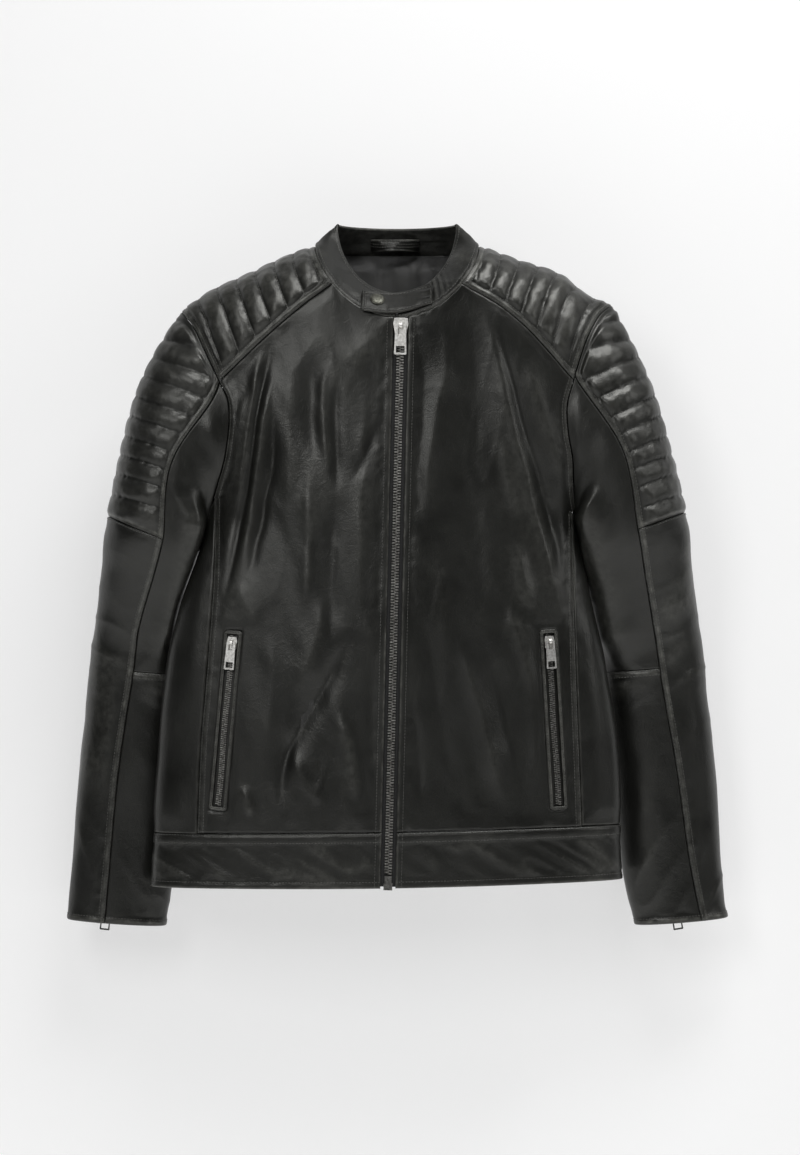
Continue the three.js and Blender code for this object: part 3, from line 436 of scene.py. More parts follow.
def collar_skin(angle, h):
    cosine = np.cos(angle)
    facing = np.where(cosine > 0, -1, 1)
    reach = np.abs(cosine)
    base_x = NECK_HALF_WIDTH * np.sin(angle)
    base_z = np.where(facing < 0, neck_front_z(base_x), neck_back_z(base_x))
    base = skin(base_x, base_z, 0, facing)
    depth = np.where(facing < 0, COLLAR_TOP_FRONT_DEPTH, COLLAR_TOP_BACK_DEPTH)
    dip = np.where(facing < 0, COLLAR_FRONT_DIP, COLLAR_BACK_DIP)
    top = point(COLLAR_TOP_HALF_WIDTH * np.sin(angle), SIDE_PLANE_Y + facing * depth * reach,
                COLLAR_TOP_Z - dip * reach)
    return lerp(base, top, np.asarray(h)[..., None])


def collar_point(angle, h, out):
    step = 0.01
    around = collar_skin(angle + step, h) - collar_skin(angle - step, h)
    up = collar_skin(angle, h + step) - collar_skin(angle, h - step)
    bulge = COLLAR_BULGE * np.sin(np.pi * np.clip(h, 0, 1))
    return collar_skin(angle, h) + unit(np.cross(around, up)) * (out + bulge)[..., None]


def collar_place(u, v, inset):
    angle = np.radians(lerp(COLLAR_SLIT, 360 - COLLAR_SLIT, u))
    return collar_point(angle, v, -inset + 0 * u)


def collar_front(x, z, out):
    base_z = neck_front_z(x)
    top_z = COLLAR_TOP_Z - COLLAR_FRONT_DIP * np.sqrt(1 - (x / COLLAR_TOP_HALF_WIDTH) ** 2)
    h = (z - base_z) / (top_z - base_z)
    angle = np.arcsin(x / lerp(NECK_HALF_WIDTH, COLLAR_TOP_HALF_WIDTH, h))
    return collar_point(angle, h, out + 0 * x)


TAB_REACH, TAB_BACK, TAB_THICKNESS = 37, 1.8, 2.2
TAB_BOTTOM_Z = profile((-37, -77.5), (0, -80), (37, -70))
TAB_TOP_Z = profile((-37, -56.5), (0, -58), (37, -48.5))


def tab_place(u, v, inset):
    x = lerp(-TAB_REACH, TAB_REACH, u)
    z = lerp(TAB_BOTTOM_Z(x), TAB_TOP_Z(x), v)
    return collar_front(x, z, TAB_BACK + TAB_THICKNESS - inset)


LOOP = dict(left=24, right=-28, half_height=6, gap=2.8, thickness=1.8)


def loop_place(u, v, inset):
    x = lerp(LOOP["right"], LOOP["left"], u)
    z = lerp(-LOOP["half_height"], LOOP["half_height"], v)
    angle = np.pi - np.arcsin(x / lerp(NECK_HALF_WIDTH, COLLAR_TOP_HALF_WIDTH, 0.4))
    base_z = neck_back_z(x)
    h = (z - base_z) / (COLLAR_TOP_Z - COLLAR_BACK_DIP - base_z)
    sewn = collar_point(angle, h, -BAND_LEATHER - LOOP["gap"] + 0 * x)[..., 1]
    back = lerp(sewn, 0, np.sin(np.pi * u) ** 0.7)
    return point(x, back - LOOP["thickness"] + inset, z)


def armhole_point(side, angle, inset):
    body = BODY[side]
    centre = (body["armhole_top"] + body["armpit"]) / 2
    half = (body["armhole_top"] - body["armpit"]) / 2
    seam_z = centre + half * np.cos(angle)
    x = body["armhole"](seam_z)
    facing = np.where(np.sin(angle) > 0, -1, 1)
    y = skin_y(side * x, seam_z, 0, facing) + inset * np.sin(angle)
    return point(side * x, y, centre + (half - inset) * np.cos(angle))


def ring_point(side, ring, angle, inset):
    (outer_x, outer_z), (inner_x, inner_z), back, depth = ring
    half = math.hypot(outer_x - inner_x, outer_z - inner_z) / 2
    share = np.cos(angle) * (half - inset) / half
    sine = np.sin(angle)
    fullness = np.sign(sine) * np.abs(sine) ** SLEEVE_SQUARENESS
    return point(side * (outer_x + inner_x + (outer_x - inner_x) * share) / 2,
                 SIDE_PLANE_Y + back - (depth - inset) * fullness,
                 (outer_z + inner_z + (outer_z - inner_z) * share) / 2)


def sleeve_point(side, degrees, station, inset):
    degrees, station, inset = np.broadcast_arrays(degrees, station, inset)
    angle = np.radians(degrees)
    rings = [armhole_point(side, angle, inset)]
    rings += [ring_point(side, ring, angle, inset) for ring in SLEEVE[side]["rings"]]
    rings = np.stack(rings)
    i = np.clip(np.floor(station).astype(int), 0, CUFF - 1)
    t = (station - i)[..., None]

    def at(k):
        k = np.clip(k, 0, CUFF)[None, ..., None]
        return np.take_along_axis(rings, np.broadcast_to(k, (1,) + rings.shape[1:]), axis=0)[0]

    p, q, r, s = at(i - 1), at(i), at(i + 1), at(i + 2)
    return q + 0.5 * t * (r - p + t * (2 * p - 5 * q + 4 * r - s + t * (3 * (q - r) + s - p)))


def sleeve_place(side, back, front, start, end, opening=None):
    """A sleeve panel from one lengthwise seam to the next. opening(station) is how many degrees it
    stands back from the cuff zip, at the front edge (positive) or the back edge (negative)."""

    def place(u, v, inset):
        def degrees_at(station):
            low, high = back(station) + SEAM_DEGREES, front(station) - SEAM_DEGREES
            if opening is not None:
                gap = opening(station)
                low, high = low + np.maximum(gap, 0), high + np.minimum(gap, 0)
            return lerp(low, high, u)

        first = start
        if start == 0:  # a station is a share of the way along, so the gap at the armhole is turned into one
            edge = degrees_at(0 * u)
            first_ring = sleeve_point(side, edge, 0 * u, 0) - sleeve_point(side, edge, 0 * u + 1, 0)
            first = SLEEVE_HEAD_GAP / np.linalg.norm(first_ring, axis=-1)
        station = lerp(first, end, v)
        return sleeve_point(side, degrees_at(station), station, inset)

    return place


# ------------------------------------------------------------------ meshes


def add_mesh(name, vertices, faces, material, smooth_faces=True):
    """A mesh object from vertices in mm."""
    mesh = bpy.data.meshes.new(name)
    if isinstance(faces, np.ndarray):
        faces = faces.tolist()
    mesh.from_pydata((np.asarray(vertices) * MM).tolist(), [], faces)
    mesh.polygons.foreach_set("use_smooth", [smooth_faces] * len(mesh.polygons))
    mesh.materials.append(material)
    mesh.update()
    obj = bpy.data.objects.new(name, mesh)
    bpy.context.scene.collection.objects.link(obj)
    return obj


def grid_faces(rows, columns):
    """Four-sided faces over a grid of points."""
    index = np.arange(rows * columns).reshape(rows, columns)
    corners = [index[:-1, :-1], index[:-1, 1:], index[1:, 1:], index[1:, :-1]]
    return np.stack(corners, axis=-1).reshape(-1, 4)


def ring_faces(rings, sides, closed=False):
    """Four-sided faces between rings of points, and from the last ring to the first if closed."""
    total = rings * sides
    faces = []
    for ring in range(rings if closed else rings - 1):
        for k in range(sides):
            a, b = ring * sides + k, ring * sides + (k + 1) % sides
            faces.append((a, b, (b + sides) % total, (a + sides) % total))
    return faces


def on_grid(grid, i, j):
    """Values of a grid at fractional columns i and rows j."""
    rows, columns = grid.shape[:2]
    i, j = np.clip(i, 0, columns - 1.001), np.clip(j, 0, rows - 1.001)
    a, b = i.astype(int), j.astype(int)
    s, t = i - a, j - b
    if grid.ndim == 3:
        s, t = s[..., None], t[..., None]
    return lerp(lerp(grid[b, a], grid[b, a + 1], s), lerp(grid[b + 1, a], grid[b + 1, a + 1], s), t)


def spread(length, step, breaks=()):
    """Positions from 0 to 1 about a step apart, closer together near each end, with the breaks among them."""
    near = np.array([0.35, 0.9, 1.7, 2.8]) / length
    fixed = np.concatenate([[0, 1], near, 1 - near, breaks])
    even = np.linspace(0, 1, max(2, round(length / step)) + 1)
    gap = np.abs(even[:, None] - fixed[None, :]).min(axis=1)
    values = np.concatenate([fixed, even[gap > 0.35 * step / length]])
    return np.unique(np.round(values, 7))


class Sheet:
    """A sheet of leather or cloth over a grid: place(u, v, inset) gives its skin, relief(sheet) how far
    folds move both faces and how far detail moves the outer face alone."""

    def __init__(self, place, size, step, thickness, relief=None, breaks=(), v_breaks=(), rim=(0.5, 0.05)):
        self.place, self.size = place, size
        self.us = spread(size[0], step, breaks)
        self.vs = spread(size[1], step, v_breaks)
        u, v = np.meshgrid(self.us, self.vs)
        self.u, self.v = u, v
        self.p = place(u, v, 0 * u)
        inward = place(u, v, 0 * u + 1) - self.p
        across = np.gradient(self.p, axis=1)
        up = np.gradient(self.p, axis=0)
        self.n = unit(np.cross(across, up))
        flip = np.sign(np.sum(self.n * inward))
        self.n = -flip * self.n
        self.measure()
        self.thickness = thickness
        fold, detail = relief(self) if relief else (0 * u, 0 * u)
        self.lift = fold
        outer_rim = self.round_off(rim[0] * thickness)
        inner_rim = self.round_off(rim[1] * thickness)
        self.outer = self.p + self.n * (fold + detail - outer_rim)[..., None]
        self.inner = self.p + self.n * (fold - thickness + inner_rim)[..., None]

    def measure(self):
        """How far each point is from each edge along the grid, the area, and the flat size."""
        along_u = np.linalg.norm(np.diff(self.p, axis=1), axis=-1)
        along_v = np.linalg.norm(np.diff(self.p, axis=0), axis=-1)
        self.left = np.pad(np.cumsum(along_u, axis=1), ((0, 0), (1, 0)))
        self.right = self.left[:, -1:] - self.left
        self.bottom = np.pad(np.cumsum(along_v, axis=0), ((1, 0), (0, 0)))
        self.top = self.bottom[-1:, :] - self.bottom
        self.side_gap = np.minimum(self.left, self.right)
        self.end_gap = np.minimum(self.bottom, self.top)
        self.edge = np.minimum(self.side_gap, self.end_gap)
        cells = np.cross(self.p[1:, 1:] - self.p[:-1, :-1], self.p[1:, :-1] - self.p[:-1, 1:])
        self.area = np.linalg.norm(cells, axis=-1).sum() / 2
        self.flat = (float(self.left[:, -1].max()), float(self.bottom[-1].max()))

    def round_off(self, radius):
        """How far a face falls towards the sheet's edge."""
        fall = 0
        for distance in (self.left, self.right, self.bottom, self.top):
            inside = np.clip(distance / radius, 0, 1)
            fall = np.maximum(fall, radius * (1 - np.sqrt(1 - (1 - inside) ** 2)))
        return fall

    def row(self, side, distance, start=0.0, end=1.0):
        """Points and normals along a line at a distance from one side, from start to end of it."""
        far = getattr(self, side)
        points, normals = self.outer, self.n
        if side in ("top", "bottom"):
            far, points, normals = far.T, points.transpose(1, 0, 2), normals.transpose(1, 0, 2)
        if side in ("right", "top"):
            far, points, normals = far[:, ::-1], points[:, ::-1], normals[:, ::-1]
        i = np.clip((far < distance).sum(axis=1) - 1, 0, far.shape[1] - 2)
        rows = np.arange(far.shape[0])
        share = np.clip((distance - far[rows, i]) / (far[rows, i + 1] - far[rows, i]), 0, 1)[:, None]
        line = lerp(points[rows, i], points[rows, i + 1], share)
        out = unit(lerp(normals[rows, i], normals[rows, i + 1], share))
        keep = slice(int(start * (len(rows) - 1)), int(end * (len(rows) - 1)) + 1)
        return line[keep], out[keep]

    def line(self, u, v):
        """Points and normals along a line given by its u and v, each a list."""
        i, j = self.columns_rows(np.asarray(u), np.asarray(v))
        return on_grid(self.outer, i, j), unit(on_grid(self.n, i, j))

    def columns_rows(self, u, v):
        """Fractional columns and rows of the grid at u and v."""
        return np.interp(u, self.us, np.arange(len(self.us))), np.interp(v, self.vs, np.arange(len(self.vs)))

    def build(self, name, material, wear_and_painted_light=None, inner_painted_light=0.0):
        """The mesh object: both faces and the rim between them. A value at each outer point lightens the
        leather, both as wear and as painted highlight; one value for the whole inner face lightens it as
        painted light.
        """
        rows, columns = self.u.shape
        count = rows * columns
        vertices = np.concatenate([self.outer.reshape(-1, 3), self.inner.reshape(-1, 3)])
        quads = grid_faces(rows, columns)
        index = np.arange(count).reshape(rows, columns)
        rim = np.concatenate([index[0, :], index[1:, -1], index[-1, -2::-1], index[-2:0:-1, 0]])
        following = np.roll(rim, -1)
        walls = np.stack([rim, rim + count, following + count, following], axis=-1)
        faces = np.concatenate([quads, quads[:, ::-1] + count, walls])
        middle = (rows // 2, columns // 2)
        across = self.outer[middle[0], middle[1] + 1] - self.outer[middle]
        up = self.outer[middle[0] + 1, middle[1]] - self.outer[middle]
        if np.dot(np.cross(across, up), self.n[middle]) < 0:
            faces = faces[:, ::-1]
        obj = add_mesh(name, vertices, faces, material)
        lightening = np.full(2 * count, inner_painted_light)
        if wear_and_painted_light is not None:
            lightening[:count] = np.clip(wear_and_painted_light, 0, 1).reshape(-1)
        attribute = obj.data.attributes.new("wear_and_painted_light", "FLOAT", "POINT")
        attribute.data.foreach_set("value", lightening)
        return obj


def stitch_template():
    """One stitch, as points and faces. Each ring of it is a place along, a height and a radius."""
    rings = [(-0.5, -0.35, 0.6), (-0.3, 0.12, 1.0), (0.3, 0.12, 1.0), (0.5, -0.35, 0.6)]
    sides = 6
    vertices = []
    for along, height, radius in rings:
        for k in range(sides):
            angle = 2 * math.pi * k / sides
            vertices.append((along * STITCH_LENGTH, THREAD_RADIUS * radius * math.cos(angle),
                             height + THREAD_RADIUS * radius * math.sin(angle)))
    caps = [tuple(range(sides))[::-1], tuple(range(len(vertices) - sides, len(vertices)))]
    return np.array(vertices), ring_faces(len(rings), sides) + caps


class Thread:
    """Rows of stitches gathered into one mesh."""

    def __init__(self):
        self.vertices, self.faces, self.count = [], [], 0

    def row(self, line, pitch=STITCH_PITCH):
        points, normals = line
        lengths = np.linalg.norm(np.diff(points, axis=0), axis=1)
        reach = np.concatenate([[0], np.cumsum(lengths)])
        where = np.arange(pitch * 0.6, reach[-1] - pitch * 0.4, pitch)
        if not len(where):
            return

        def at(place, values):
            return np.stack([np.interp(place, reach, values[:, k]) for k in range(3)], axis=-1)

        along = unit(at(where + 0.8, points) - at(where - 0.8, points))
        beside = unit(np.cross(unit(at(where, normals)), along))
        out = np.cross(along, beside)
        template, faces = stitch_template()
        placed = at(where, points)[:, None]
        for k, direction in enumerate((along, beside, out)):
            placed = placed + template[None, :, k : k + 1] * direction[:, None]
        for i in range(len(where)):
            base = self.count + i * len(template)
            self.faces += [tuple(base + k for k in face) for face in faces]
        self.vertices.append(placed.reshape(-1, 3))
        self.count += len(where) * len(template)

    def build(self, name, body, material):
        obj = add_mesh(name, np.concatenate(self.vertices), self.faces, material)
        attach(obj, body)
        return obj


# ------------------------------------------------------------------ materials


def new_material(name):
    """A material, its node tree, its shader and the object's own coordinates."""
    material = bpy.data.materials.new(name)
    material.use_nodes = True
    tree = material.node_tree
    shader = tree.nodes["Principled BSDF"]
    return material, tree, shader, tree.nodes.new("ShaderNodeTexCoord").outputs["Object"]


def add_node(tree, kind, **values):
    node = tree.nodes.new(kind)
    for key, value in values.items():
        if key in node.inputs:
            node.inputs[key].default_value = value
        else:
            setattr(node, key, value)
    return node


def noise_node(tree, coordinates, scale, detail=3.0, roughness=0.5, distortion=0.0):
    node = add_node(tree, "ShaderNodeTexNoise", Scale=scale, Detail=detail, Roughness=roughness,
                    Distortion=distortion)
    tree.links.new(coordinates, node.inputs["Vector"])
    return node.outputs["Fac"]


def remap(tree, value, low, high, to_low, to_high):
    node = tree.nodes.new("ShaderNodeMapRange")
    for key, number in (("From Min", low), ("From Max", high), ("To Min", to_low), ("To Max", to_high)):
        node.inputs[key].default_value = number
    tree.links.new(value, node.inputs["Value"])
    return node.outputs["Result"]


def mix_colour(tree, share, a, b):
    node = tree.nodes.new("ShaderNodeMix")
    node.data_type = "RGBA"
    tree.links.new(share, node.inputs["Factor"])
    for socket, colour in ((node.inputs[6], a), (node.inputs[7], b)):
        if isinstance(colour, tuple):
            socket.default_value = (*colour, 1)
        else:
            tree.links.new(colour, socket)
    return node.outputs[2]


def math_node(tree, operation, a, b):
    node = add_node(tree, "ShaderNodeMath", operation=operation)
    tree.links.new(a, node.inputs[0])
    tree.links.new(b, node.inputs[1])
    return node.outputs[0]


def wave_node(tree, coordinates, direction, **values):
    node = add_node(tree, "ShaderNodeTexWave", bands_direction=direction, **values)
    tree.links.new(coordinates, node.inputs["Vector"])
    return node.outputs["Fac"]


def bump(tree, height, strength, distance, normal=None):
    node = add_node(tree, "ShaderNodeBump", Strength=strength, Distance=distance)
    tree.links.new(height, node.inputs["Height"])
    if normal is not None:
        tree.links.new(normal, node.inputs["Normal"])
    return node.outputs["Normal"]


def leather_material(name, dark, light, worn_and_lit, rough, coat, specular=0.5):
    """Grained hide: cells of about a millimetre, fine pores, soft creases, and a lighter tone where a point
    value asks for it: worn edges, painted highlights on crests and seam strips, and painted light on the
    collar's inner face.
    """
    material, tree, shader, where = new_material(name)
    cells = add_node(tree, "ShaderNodeTexVoronoi", Scale=820.0, Randomness=1.0, feature="SMOOTH_F1",
                     Smoothness=0.35)
    warp = add_node(tree, "ShaderNodeTexNoise", Scale=240.0, Detail=2.0)
    tree.links.new(where, warp.inputs["Vector"])
    shift = add_node(tree, "ShaderNodeMix", data_type="VECTOR")
    shift.inputs["Factor"].default_value = 0.0025
    tree.links.new(where, shift.inputs[4])
    tree.links.new(warp.outputs["Color"], shift.inputs[5])
    tree.links.new(shift.outputs[1], cells.inputs["Vector"])
    cloud = noise_node(tree, where, 26.0, 4.0, 0.6)
    patches = noise_node(tree, where, 9.0, 3.0, 0.55, 0.6)
    wear_and_painted_light = add_node(tree, "ShaderNodeAttribute", attribute_name="wear_and_painted_light").outputs["Fac"]
    colour = mix_colour(tree, remap(tree, cloud, 0.3, 0.72, 0, 1), dark, light)
    colour = mix_colour(tree, remap(tree, cells.outputs["Distance"], 0.1, 0.55, 0.0, 0.35), colour, dark)
    blotches = remap(tree, noise_node(tree, where, 150.0, 3.0, 0.6), 0.35, 0.7, 0.25, 1.0)
    # Mixes in the lighter tone by the point value, broken into blotches: wear, and also painted highlight and
    # painted light.
    colour = mix_colour(tree, math_node(tree, "MULTIPLY", wear_and_painted_light, blotches), colour, worn_and_lit)
    tree.links.new(colour, shader.inputs["Base Color"])
    tree.links.new(remap(tree, patches, 0.3, 0.7, rough - 0.05, rough + 0.09), shader.inputs["Roughness"])
    crease = noise_node(tree, where, 75.0, 5.0, 0.62, 1.2)
    fine = noise_node(tree, where, 2600.0, 2.0, 0.5)
    normal = bump(tree, crease, 0.32, 0.0011)
    normal = bump(tree, cells.outputs["Distance"], 0.35, 0.00022, normal)
    normal = bump(tree, fine, 0.2, 0.00006, normal)
    tree.links.new(normal, shader.inputs["Normal"])
    shader.inputs["Coat Weight"].default_value = coat
    shader.inputs["Coat Roughness"].default_value = 0.34
    shader.inputs["Specular IOR Level"].default_value = specular
    shader.inputs["Specular Tint"].default_value = (1.0, 1.0, 0.95, 1.0)
    return material


def cloth_material(name, dark, light, scale, rough, sheen):
    """Woven cloth: crossed threads with small changes of tone."""
    material, tree, shader, where = new_material(name)
    warp, weft = (wave_node(tree, where, way, Scale=scale, Distortion=0.8, Detail=1.0) for way in "XZ")
    weave = math_node(tree, "MAXIMUM", warp, weft)
    cloud = noise_node(tree, where, 40.0, 4.0, 0.6)
    colour = mix_colour(tree, remap(tree, cloud, 0.3, 0.7, 0, 1), dark, light)
    colour = mix_colour(tree, remap(tree, weave, 0, 1, 0.5, 0.0), colour, dark)
    tree.links.new(colour, shader.inputs["Base Color"])
    tree.links.new(remap(tree, cloud, 0.3, 0.7, rough - 0.06, rough + 0.08), shader.inputs["Roughness"])
    normal = bump(tree, weave, 0.5, 0.00012)
    tree.links.new(bump(tree, cloud, 0.3, 0.0012, normal), shader.inputs["Normal"])
    shader.inputs["Sheen Weight"].default_value = sheen
    shader.inputs["Sheen Roughness"].default_value = 0.4
    return material


def metal_material(name, base, dark, rough):
    """Plated metal with fine brushing along Z, small dents and tarnish in the low spots."""
    material, tree, shader, where = new_material(name)
    stretch = add_node(tree, "ShaderNodeMapping")
    stretch.inputs["Scale"].default_value = (2200, 2200, 160)
    tree.links.new(where, stretch.inputs["Vector"])
    brushing = noise_node(tree, stretch.outputs["Vector"], 1.0, 3.0, 0.6)
    tarnish = noise_node(tree, where, 420.0, 4.0, 0.65)
    colour = mix_colour(tree, remap(tree, tarnish, 0.38, 0.62, 0, 1), dark, base)
    tree.links.new(colour, shader.inputs["Base Color"])
    shader.inputs["Metallic"].default_value = 1.0
    tree.links.new(remap(tree, brushing, 0.3, 0.7, rough - 0.07, rough + 0.12), shader.inputs["Roughness"])
    normal = bump(tree, brushing, 0.25, 0.00003)
    tree.links.new(bump(tree, tarnish, 0.35, 0.00012, normal), shader.inputs["Normal"])
    return material


def thread_material():
    """Twisted waxed thread."""
    material, tree, shader, where = new_material("thread")
    twist = wave_node(tree, where, "DIAGONAL", Scale=1500.0, Distortion=1.0)
    colour = mix_colour(tree, twist, (0.03, 0.03, 0.027), (0.11, 0.11, 0.10))
    tree.links.new(colour, shader.inputs["Base Color"])
    shader.inputs["Roughness"].default_value = 0.55
    tree.links.new(bump(tree, twist, 0.5, 0.0001), shader.inputs["Normal"])
    return material


# The second colour on the next line is the lighter tone that the point values mix in: for worn edges, and
# also as painted highlight and painted light.
BLACK, WORN_AND_LIT = (0.0026, 0.0027, 0.0022), (0.17, 0.17, 0.152)
HIDE = leather_material("leather", BLACK, (0.0078, 0.0080, 0.0067), WORN_AND_LIT, 0.36, 0.12)
QUILT = leather_material("quilted_leather", BLACK, (0.0078, 0.0080, 0.0068), WORN_AND_LIT, 0.36, 0.12)
# The collar band and the tab take darker copies of the same hide, as painted shade where the key light falls
# on them from above.
BAND_HIDE_SHADED = leather_material("band_leather_shaded", (0.0020, 0.0021, 0.0017), (0.0056, 0.0058, 0.0048), WORN_AND_LIT,
                             0.42, 0.04, 0.34)
TAB_HIDE_SHADED = leather_material("tab_leather_shaded", (0.0025, 0.0025, 0.0022), (0.006, 0.006, 0.005),
                             (0.07, 0.07, 0.062), 0.46, 0.03, 0.34)
SATIN = cloth_material("lining", (0.006, 0.006, 0.0054), (0.021, 0.021, 0.019), 900.0, 0.42, 0.25)
TAPE = cloth_material("zip_tape", (0.004, 0.004, 0.004), (0.016, 0.016, 0.016), 700.0, 0.75, 0.1)
NICKEL = metal_material("zip_nickel", (0.90, 0.89, 0.86), (0.62, 0.61, 0.58), 0.40)
TEETH = metal_material("zip_teeth", (0.42, 0.415, 0.39), (0.14, 0.135, 0.125), 0.40)
STEEL = metal_material("cuff_steel", (0.30, 0.295, 0.28), (0.12, 0.12, 0.11), 0.33)
GUNMETAL = metal_material("gunmetal", (0.125, 0.125, 0.105), (0.05, 0.05, 0.042), 0.42)
THREAD = thread_material()

# ------------------------------------------------------------------ folds, seams and puffs


def folds(p, lines):
    """Ridges and hollows along smooth lines down a panel: each line is its (x, z) points, half width and
    height. They swell in the middle, die out at both ends, and have a sharp crest."""
    x = p[..., 0] + 1.1 * noise(p, 24, 11)
    z = p[..., 2] + 1.1 * noise(p, 24, 12)
    total = 0 * x
    for points, width, height in lines:
        marks = np.array(points, float)
        reach = np.concatenate([[0], np.cumsum(np.linalg.norm(np.diff(marks, axis=0), axis=1))])
        at = np.linspace(0, reach[-1], 5 * len(marks))
        px, pz = (profile(*zip(reach, marks[:, k]))(at) for k in (0, 1))
        nearest = np.full(x.shape, np.inf)
        share = 0 * x
        for i in range(len(at) - 1):
            dx, dz = px[i + 1] - px[i], pz[i + 1] - pz[i]
            t = np.clip(((x - px[i]) * dx + (z - pz[i]) * dz) / (dx * dx + dz * dz), 0, 1)
            away = np.hypot(x - px[i] - t * dx, z - pz[i] - t * dz)
            share = np.where(away < nearest, (i + t) / (len(at) - 1), share)
            nearest = np.minimum(nearest, away)
        swell = 0.75 + 0.45 * np.sin(np.pi * share)
        fade = smooth(-0.02, 0.3, share) * smooth(-0.02, 0.3, 1 - share)
        crest = np.sqrt(nearest * nearest + 0.5) / (width * swell)
        total = total + height * np.exp(-(crest**1.45)) * fade
    return total


def groove(distance, centre, depth=0.45, width=0.8):
    return -depth * np.exp(-(((distance - centre) / width) ** 2))


def strip(sheet, distance, rows, reach=8.0, height=0.9, sunk=0.75):
    """A topstitched border: a raised strip up to reach from the seam, which is sunk, with a puckered
    groove under each row of stitches."""
    pucker = 1 + 0.5 * noise(sheet.p, 5.5, 3)
    raised = height * (1 - smooth(reach - 1.4, reach + 1.0, distance))
    drawn_in = sum(groove(distance, row, 0.6) for row in rows)
    ripple = 0.4 * noise(sheet.p, 6.0, 8) * np.exp(-(((distance - reach - 1.5) / 5.0) ** 2))
    return raised + drawn_in * pucker + ripple - sunk * np.exp(-((distance / 1.2) ** 2))


def puff(phase):
    """The cross-section of quilted ribs: 0 on each stitched line, 1 on each crest."""
    t = phase - np.floor(phase)
    return np.sin(np.pi * t) ** 0.62


def crumple(sheet, seed):
    """The small creases of leather over padding."""
    return 0.2 * noise(sheet.p, 11, seed) + 0.35 * (creases(sheet.p, 16, seed + 1) - 0.3)


def hide_ripple(p, strength=1.0):
    """Slow waves and small creases of soft hide."""
    slow = 1.6 * noise(p, (60, 90, 170), 1) + 0.9 * noise(turned(p, 8), (26, 40, 80), 2)
    fine = 0.42 * noise(turned(p, 18), (13, 14, 30), 4) + 0.5 * creases(turned(p, -12), (26, 26, 90), 5)
    return strength * (slow + fine)


# The folds of each front and of the back: points (x, z) in mm along the fold, its half width, and its
# height, negative for a hollow. They were chosen one by one: the fronts' from how the photographed jacket
# hangs, the back's by guess.
FRONT_FOLDS = {
    RIGHT: [
        (((-136, -108), (-143, -135), (-146, -169), (-154, -214), (-159, -251), (-164, -292)), 4.6, 3.4),
        (((-127, -98), (-134, -136), (-142, -169), (-148, -214), (-155, -263), (-166, -319), (-180, -385)),
         4.2, -3.8),
        (((-125, -130), (-134, -173), (-141, -207), (-145, -240), (-151, -285), (-159, -335)), 5.5, 2.6),
        (((-127, -170), (-128, -236), (-135, -263), (-140, -296), (-148, -330), (-155, -358)), 5.0, -2.8),
        (((-150, -150), (-164, -200), (-166, -250)), 7.0, 1.6),
        (((-66, -125), (-75, -150), (-74, -196), (-69, -245)), 4.5, 2.2),
        (((-58, -135), (-62, -173), (-62, -218), (-61, -265)), 5.0, -2.2),
        (((-90, -230), (-90, -274), (-92, -330), (-95, -390)), 7.0, 2.4),
        (((-62, -262), (-66, -330), (-67, -390), (-70, -420)), 9.0, -2.6),
        (((-20, -190), (-31, -222), (-46, -252)), 6.0, -1.9),
        (((-16, -96), (-36, -112), (-56, -134)), 12.0, 1.6),
        (((-30, -150), (-34, -200), (-38, -300), (-36, -390)), 8.0, 1.7),
        (((-106, -110), (-110, -200), (-112, -300)), 14.0, 1.8),
        (((-84, -110), (-88, -170), (-84, -230)), 10.0, -1.6),
        (((-46, -405), (-64, -439), (-79, -466), (-98, -497), (-114, -534), (-120, -585)), 9.0, -5.0),
        (((-62, -480), (-54, -505), (-45, -540), (-42, -580)), 6.0, 2.6),
        (((-108, -520), (-98, -550), (-76, -584)), 8.0, 2.4),
        (((-158, -560), (-153, -576), (-148, -594)), 3.4, 2.8),
        (((-164, -352), (-154, -376), (-142, -396)), 8.0, 2.0),
        (((-184, -397), (-168, -397), (-152, -398)), 3.0, 1.8),
        (((-72, -360), (-84, -416), (-104, -470)), 9.0, 2.2),
        (((-130, -400), (-128, -470), (-138, -540)), 10.0, 1.8),
        (((-22, -420), (-24, -480), (-20, -560)), 7.0, -1.7),
    ],
    LEFT: [
        (((88, -68), (101, -115), (110, -155), (119, -196), (130, -236), (139, -274), (151, -319),
          (160, -356), (170, -396)), 7.0, 3.8),
        (((100, -80), (119, -151), (128, -187), (142, -227), (155, -270), (164, -312), (171, -360)),
         6.5, -3.8),
        (((130, -122), (140, -152), (151, -187), (164, -232), (170, -268)), 9.0, 2.8),
        (((74, -60), (80, -160), (84, -260), (88, -392)), 18.0, -2.6),
        (((46, -78), (52, -129), (41, -178), (32, -241), (30, -300)), 8.0, 2.2),
        (((26, -110), (25, -200), (20, -300)), 6.0, -1.4),
        (((106, -200), (112, -240), (124, -290)), 5.0, 1.8),
        (((118, -310), (128, -345), (138, -385)), 6.0, 2.2),
        (((112, -372), (122, -400), (130, -430), (141, -470)), 6.0, 2.4),
        (((60, -395), (76, -455), (89, -497), (104, -560), (118, -590)), 8.0, 3.0),
        (((84, -400), (99, -440), (113, -508), (126, -560)), 9.0, -2.6),
        (((16, -470), (22, -534), (27, -585)), 4.5, -2.2),
        (((44, -300), (46, -380), (52, -450)), 12.0, 1.6),
        (((28, -380), (40, -470), (58, -560)), 10.0, -1.9),
        (((148, -590), (156, -598), (170, -600)), 3.4, 1.8),
        (((138, -420), (144, -500), (140, -580)), 7.0, 1.6),
    ],
}


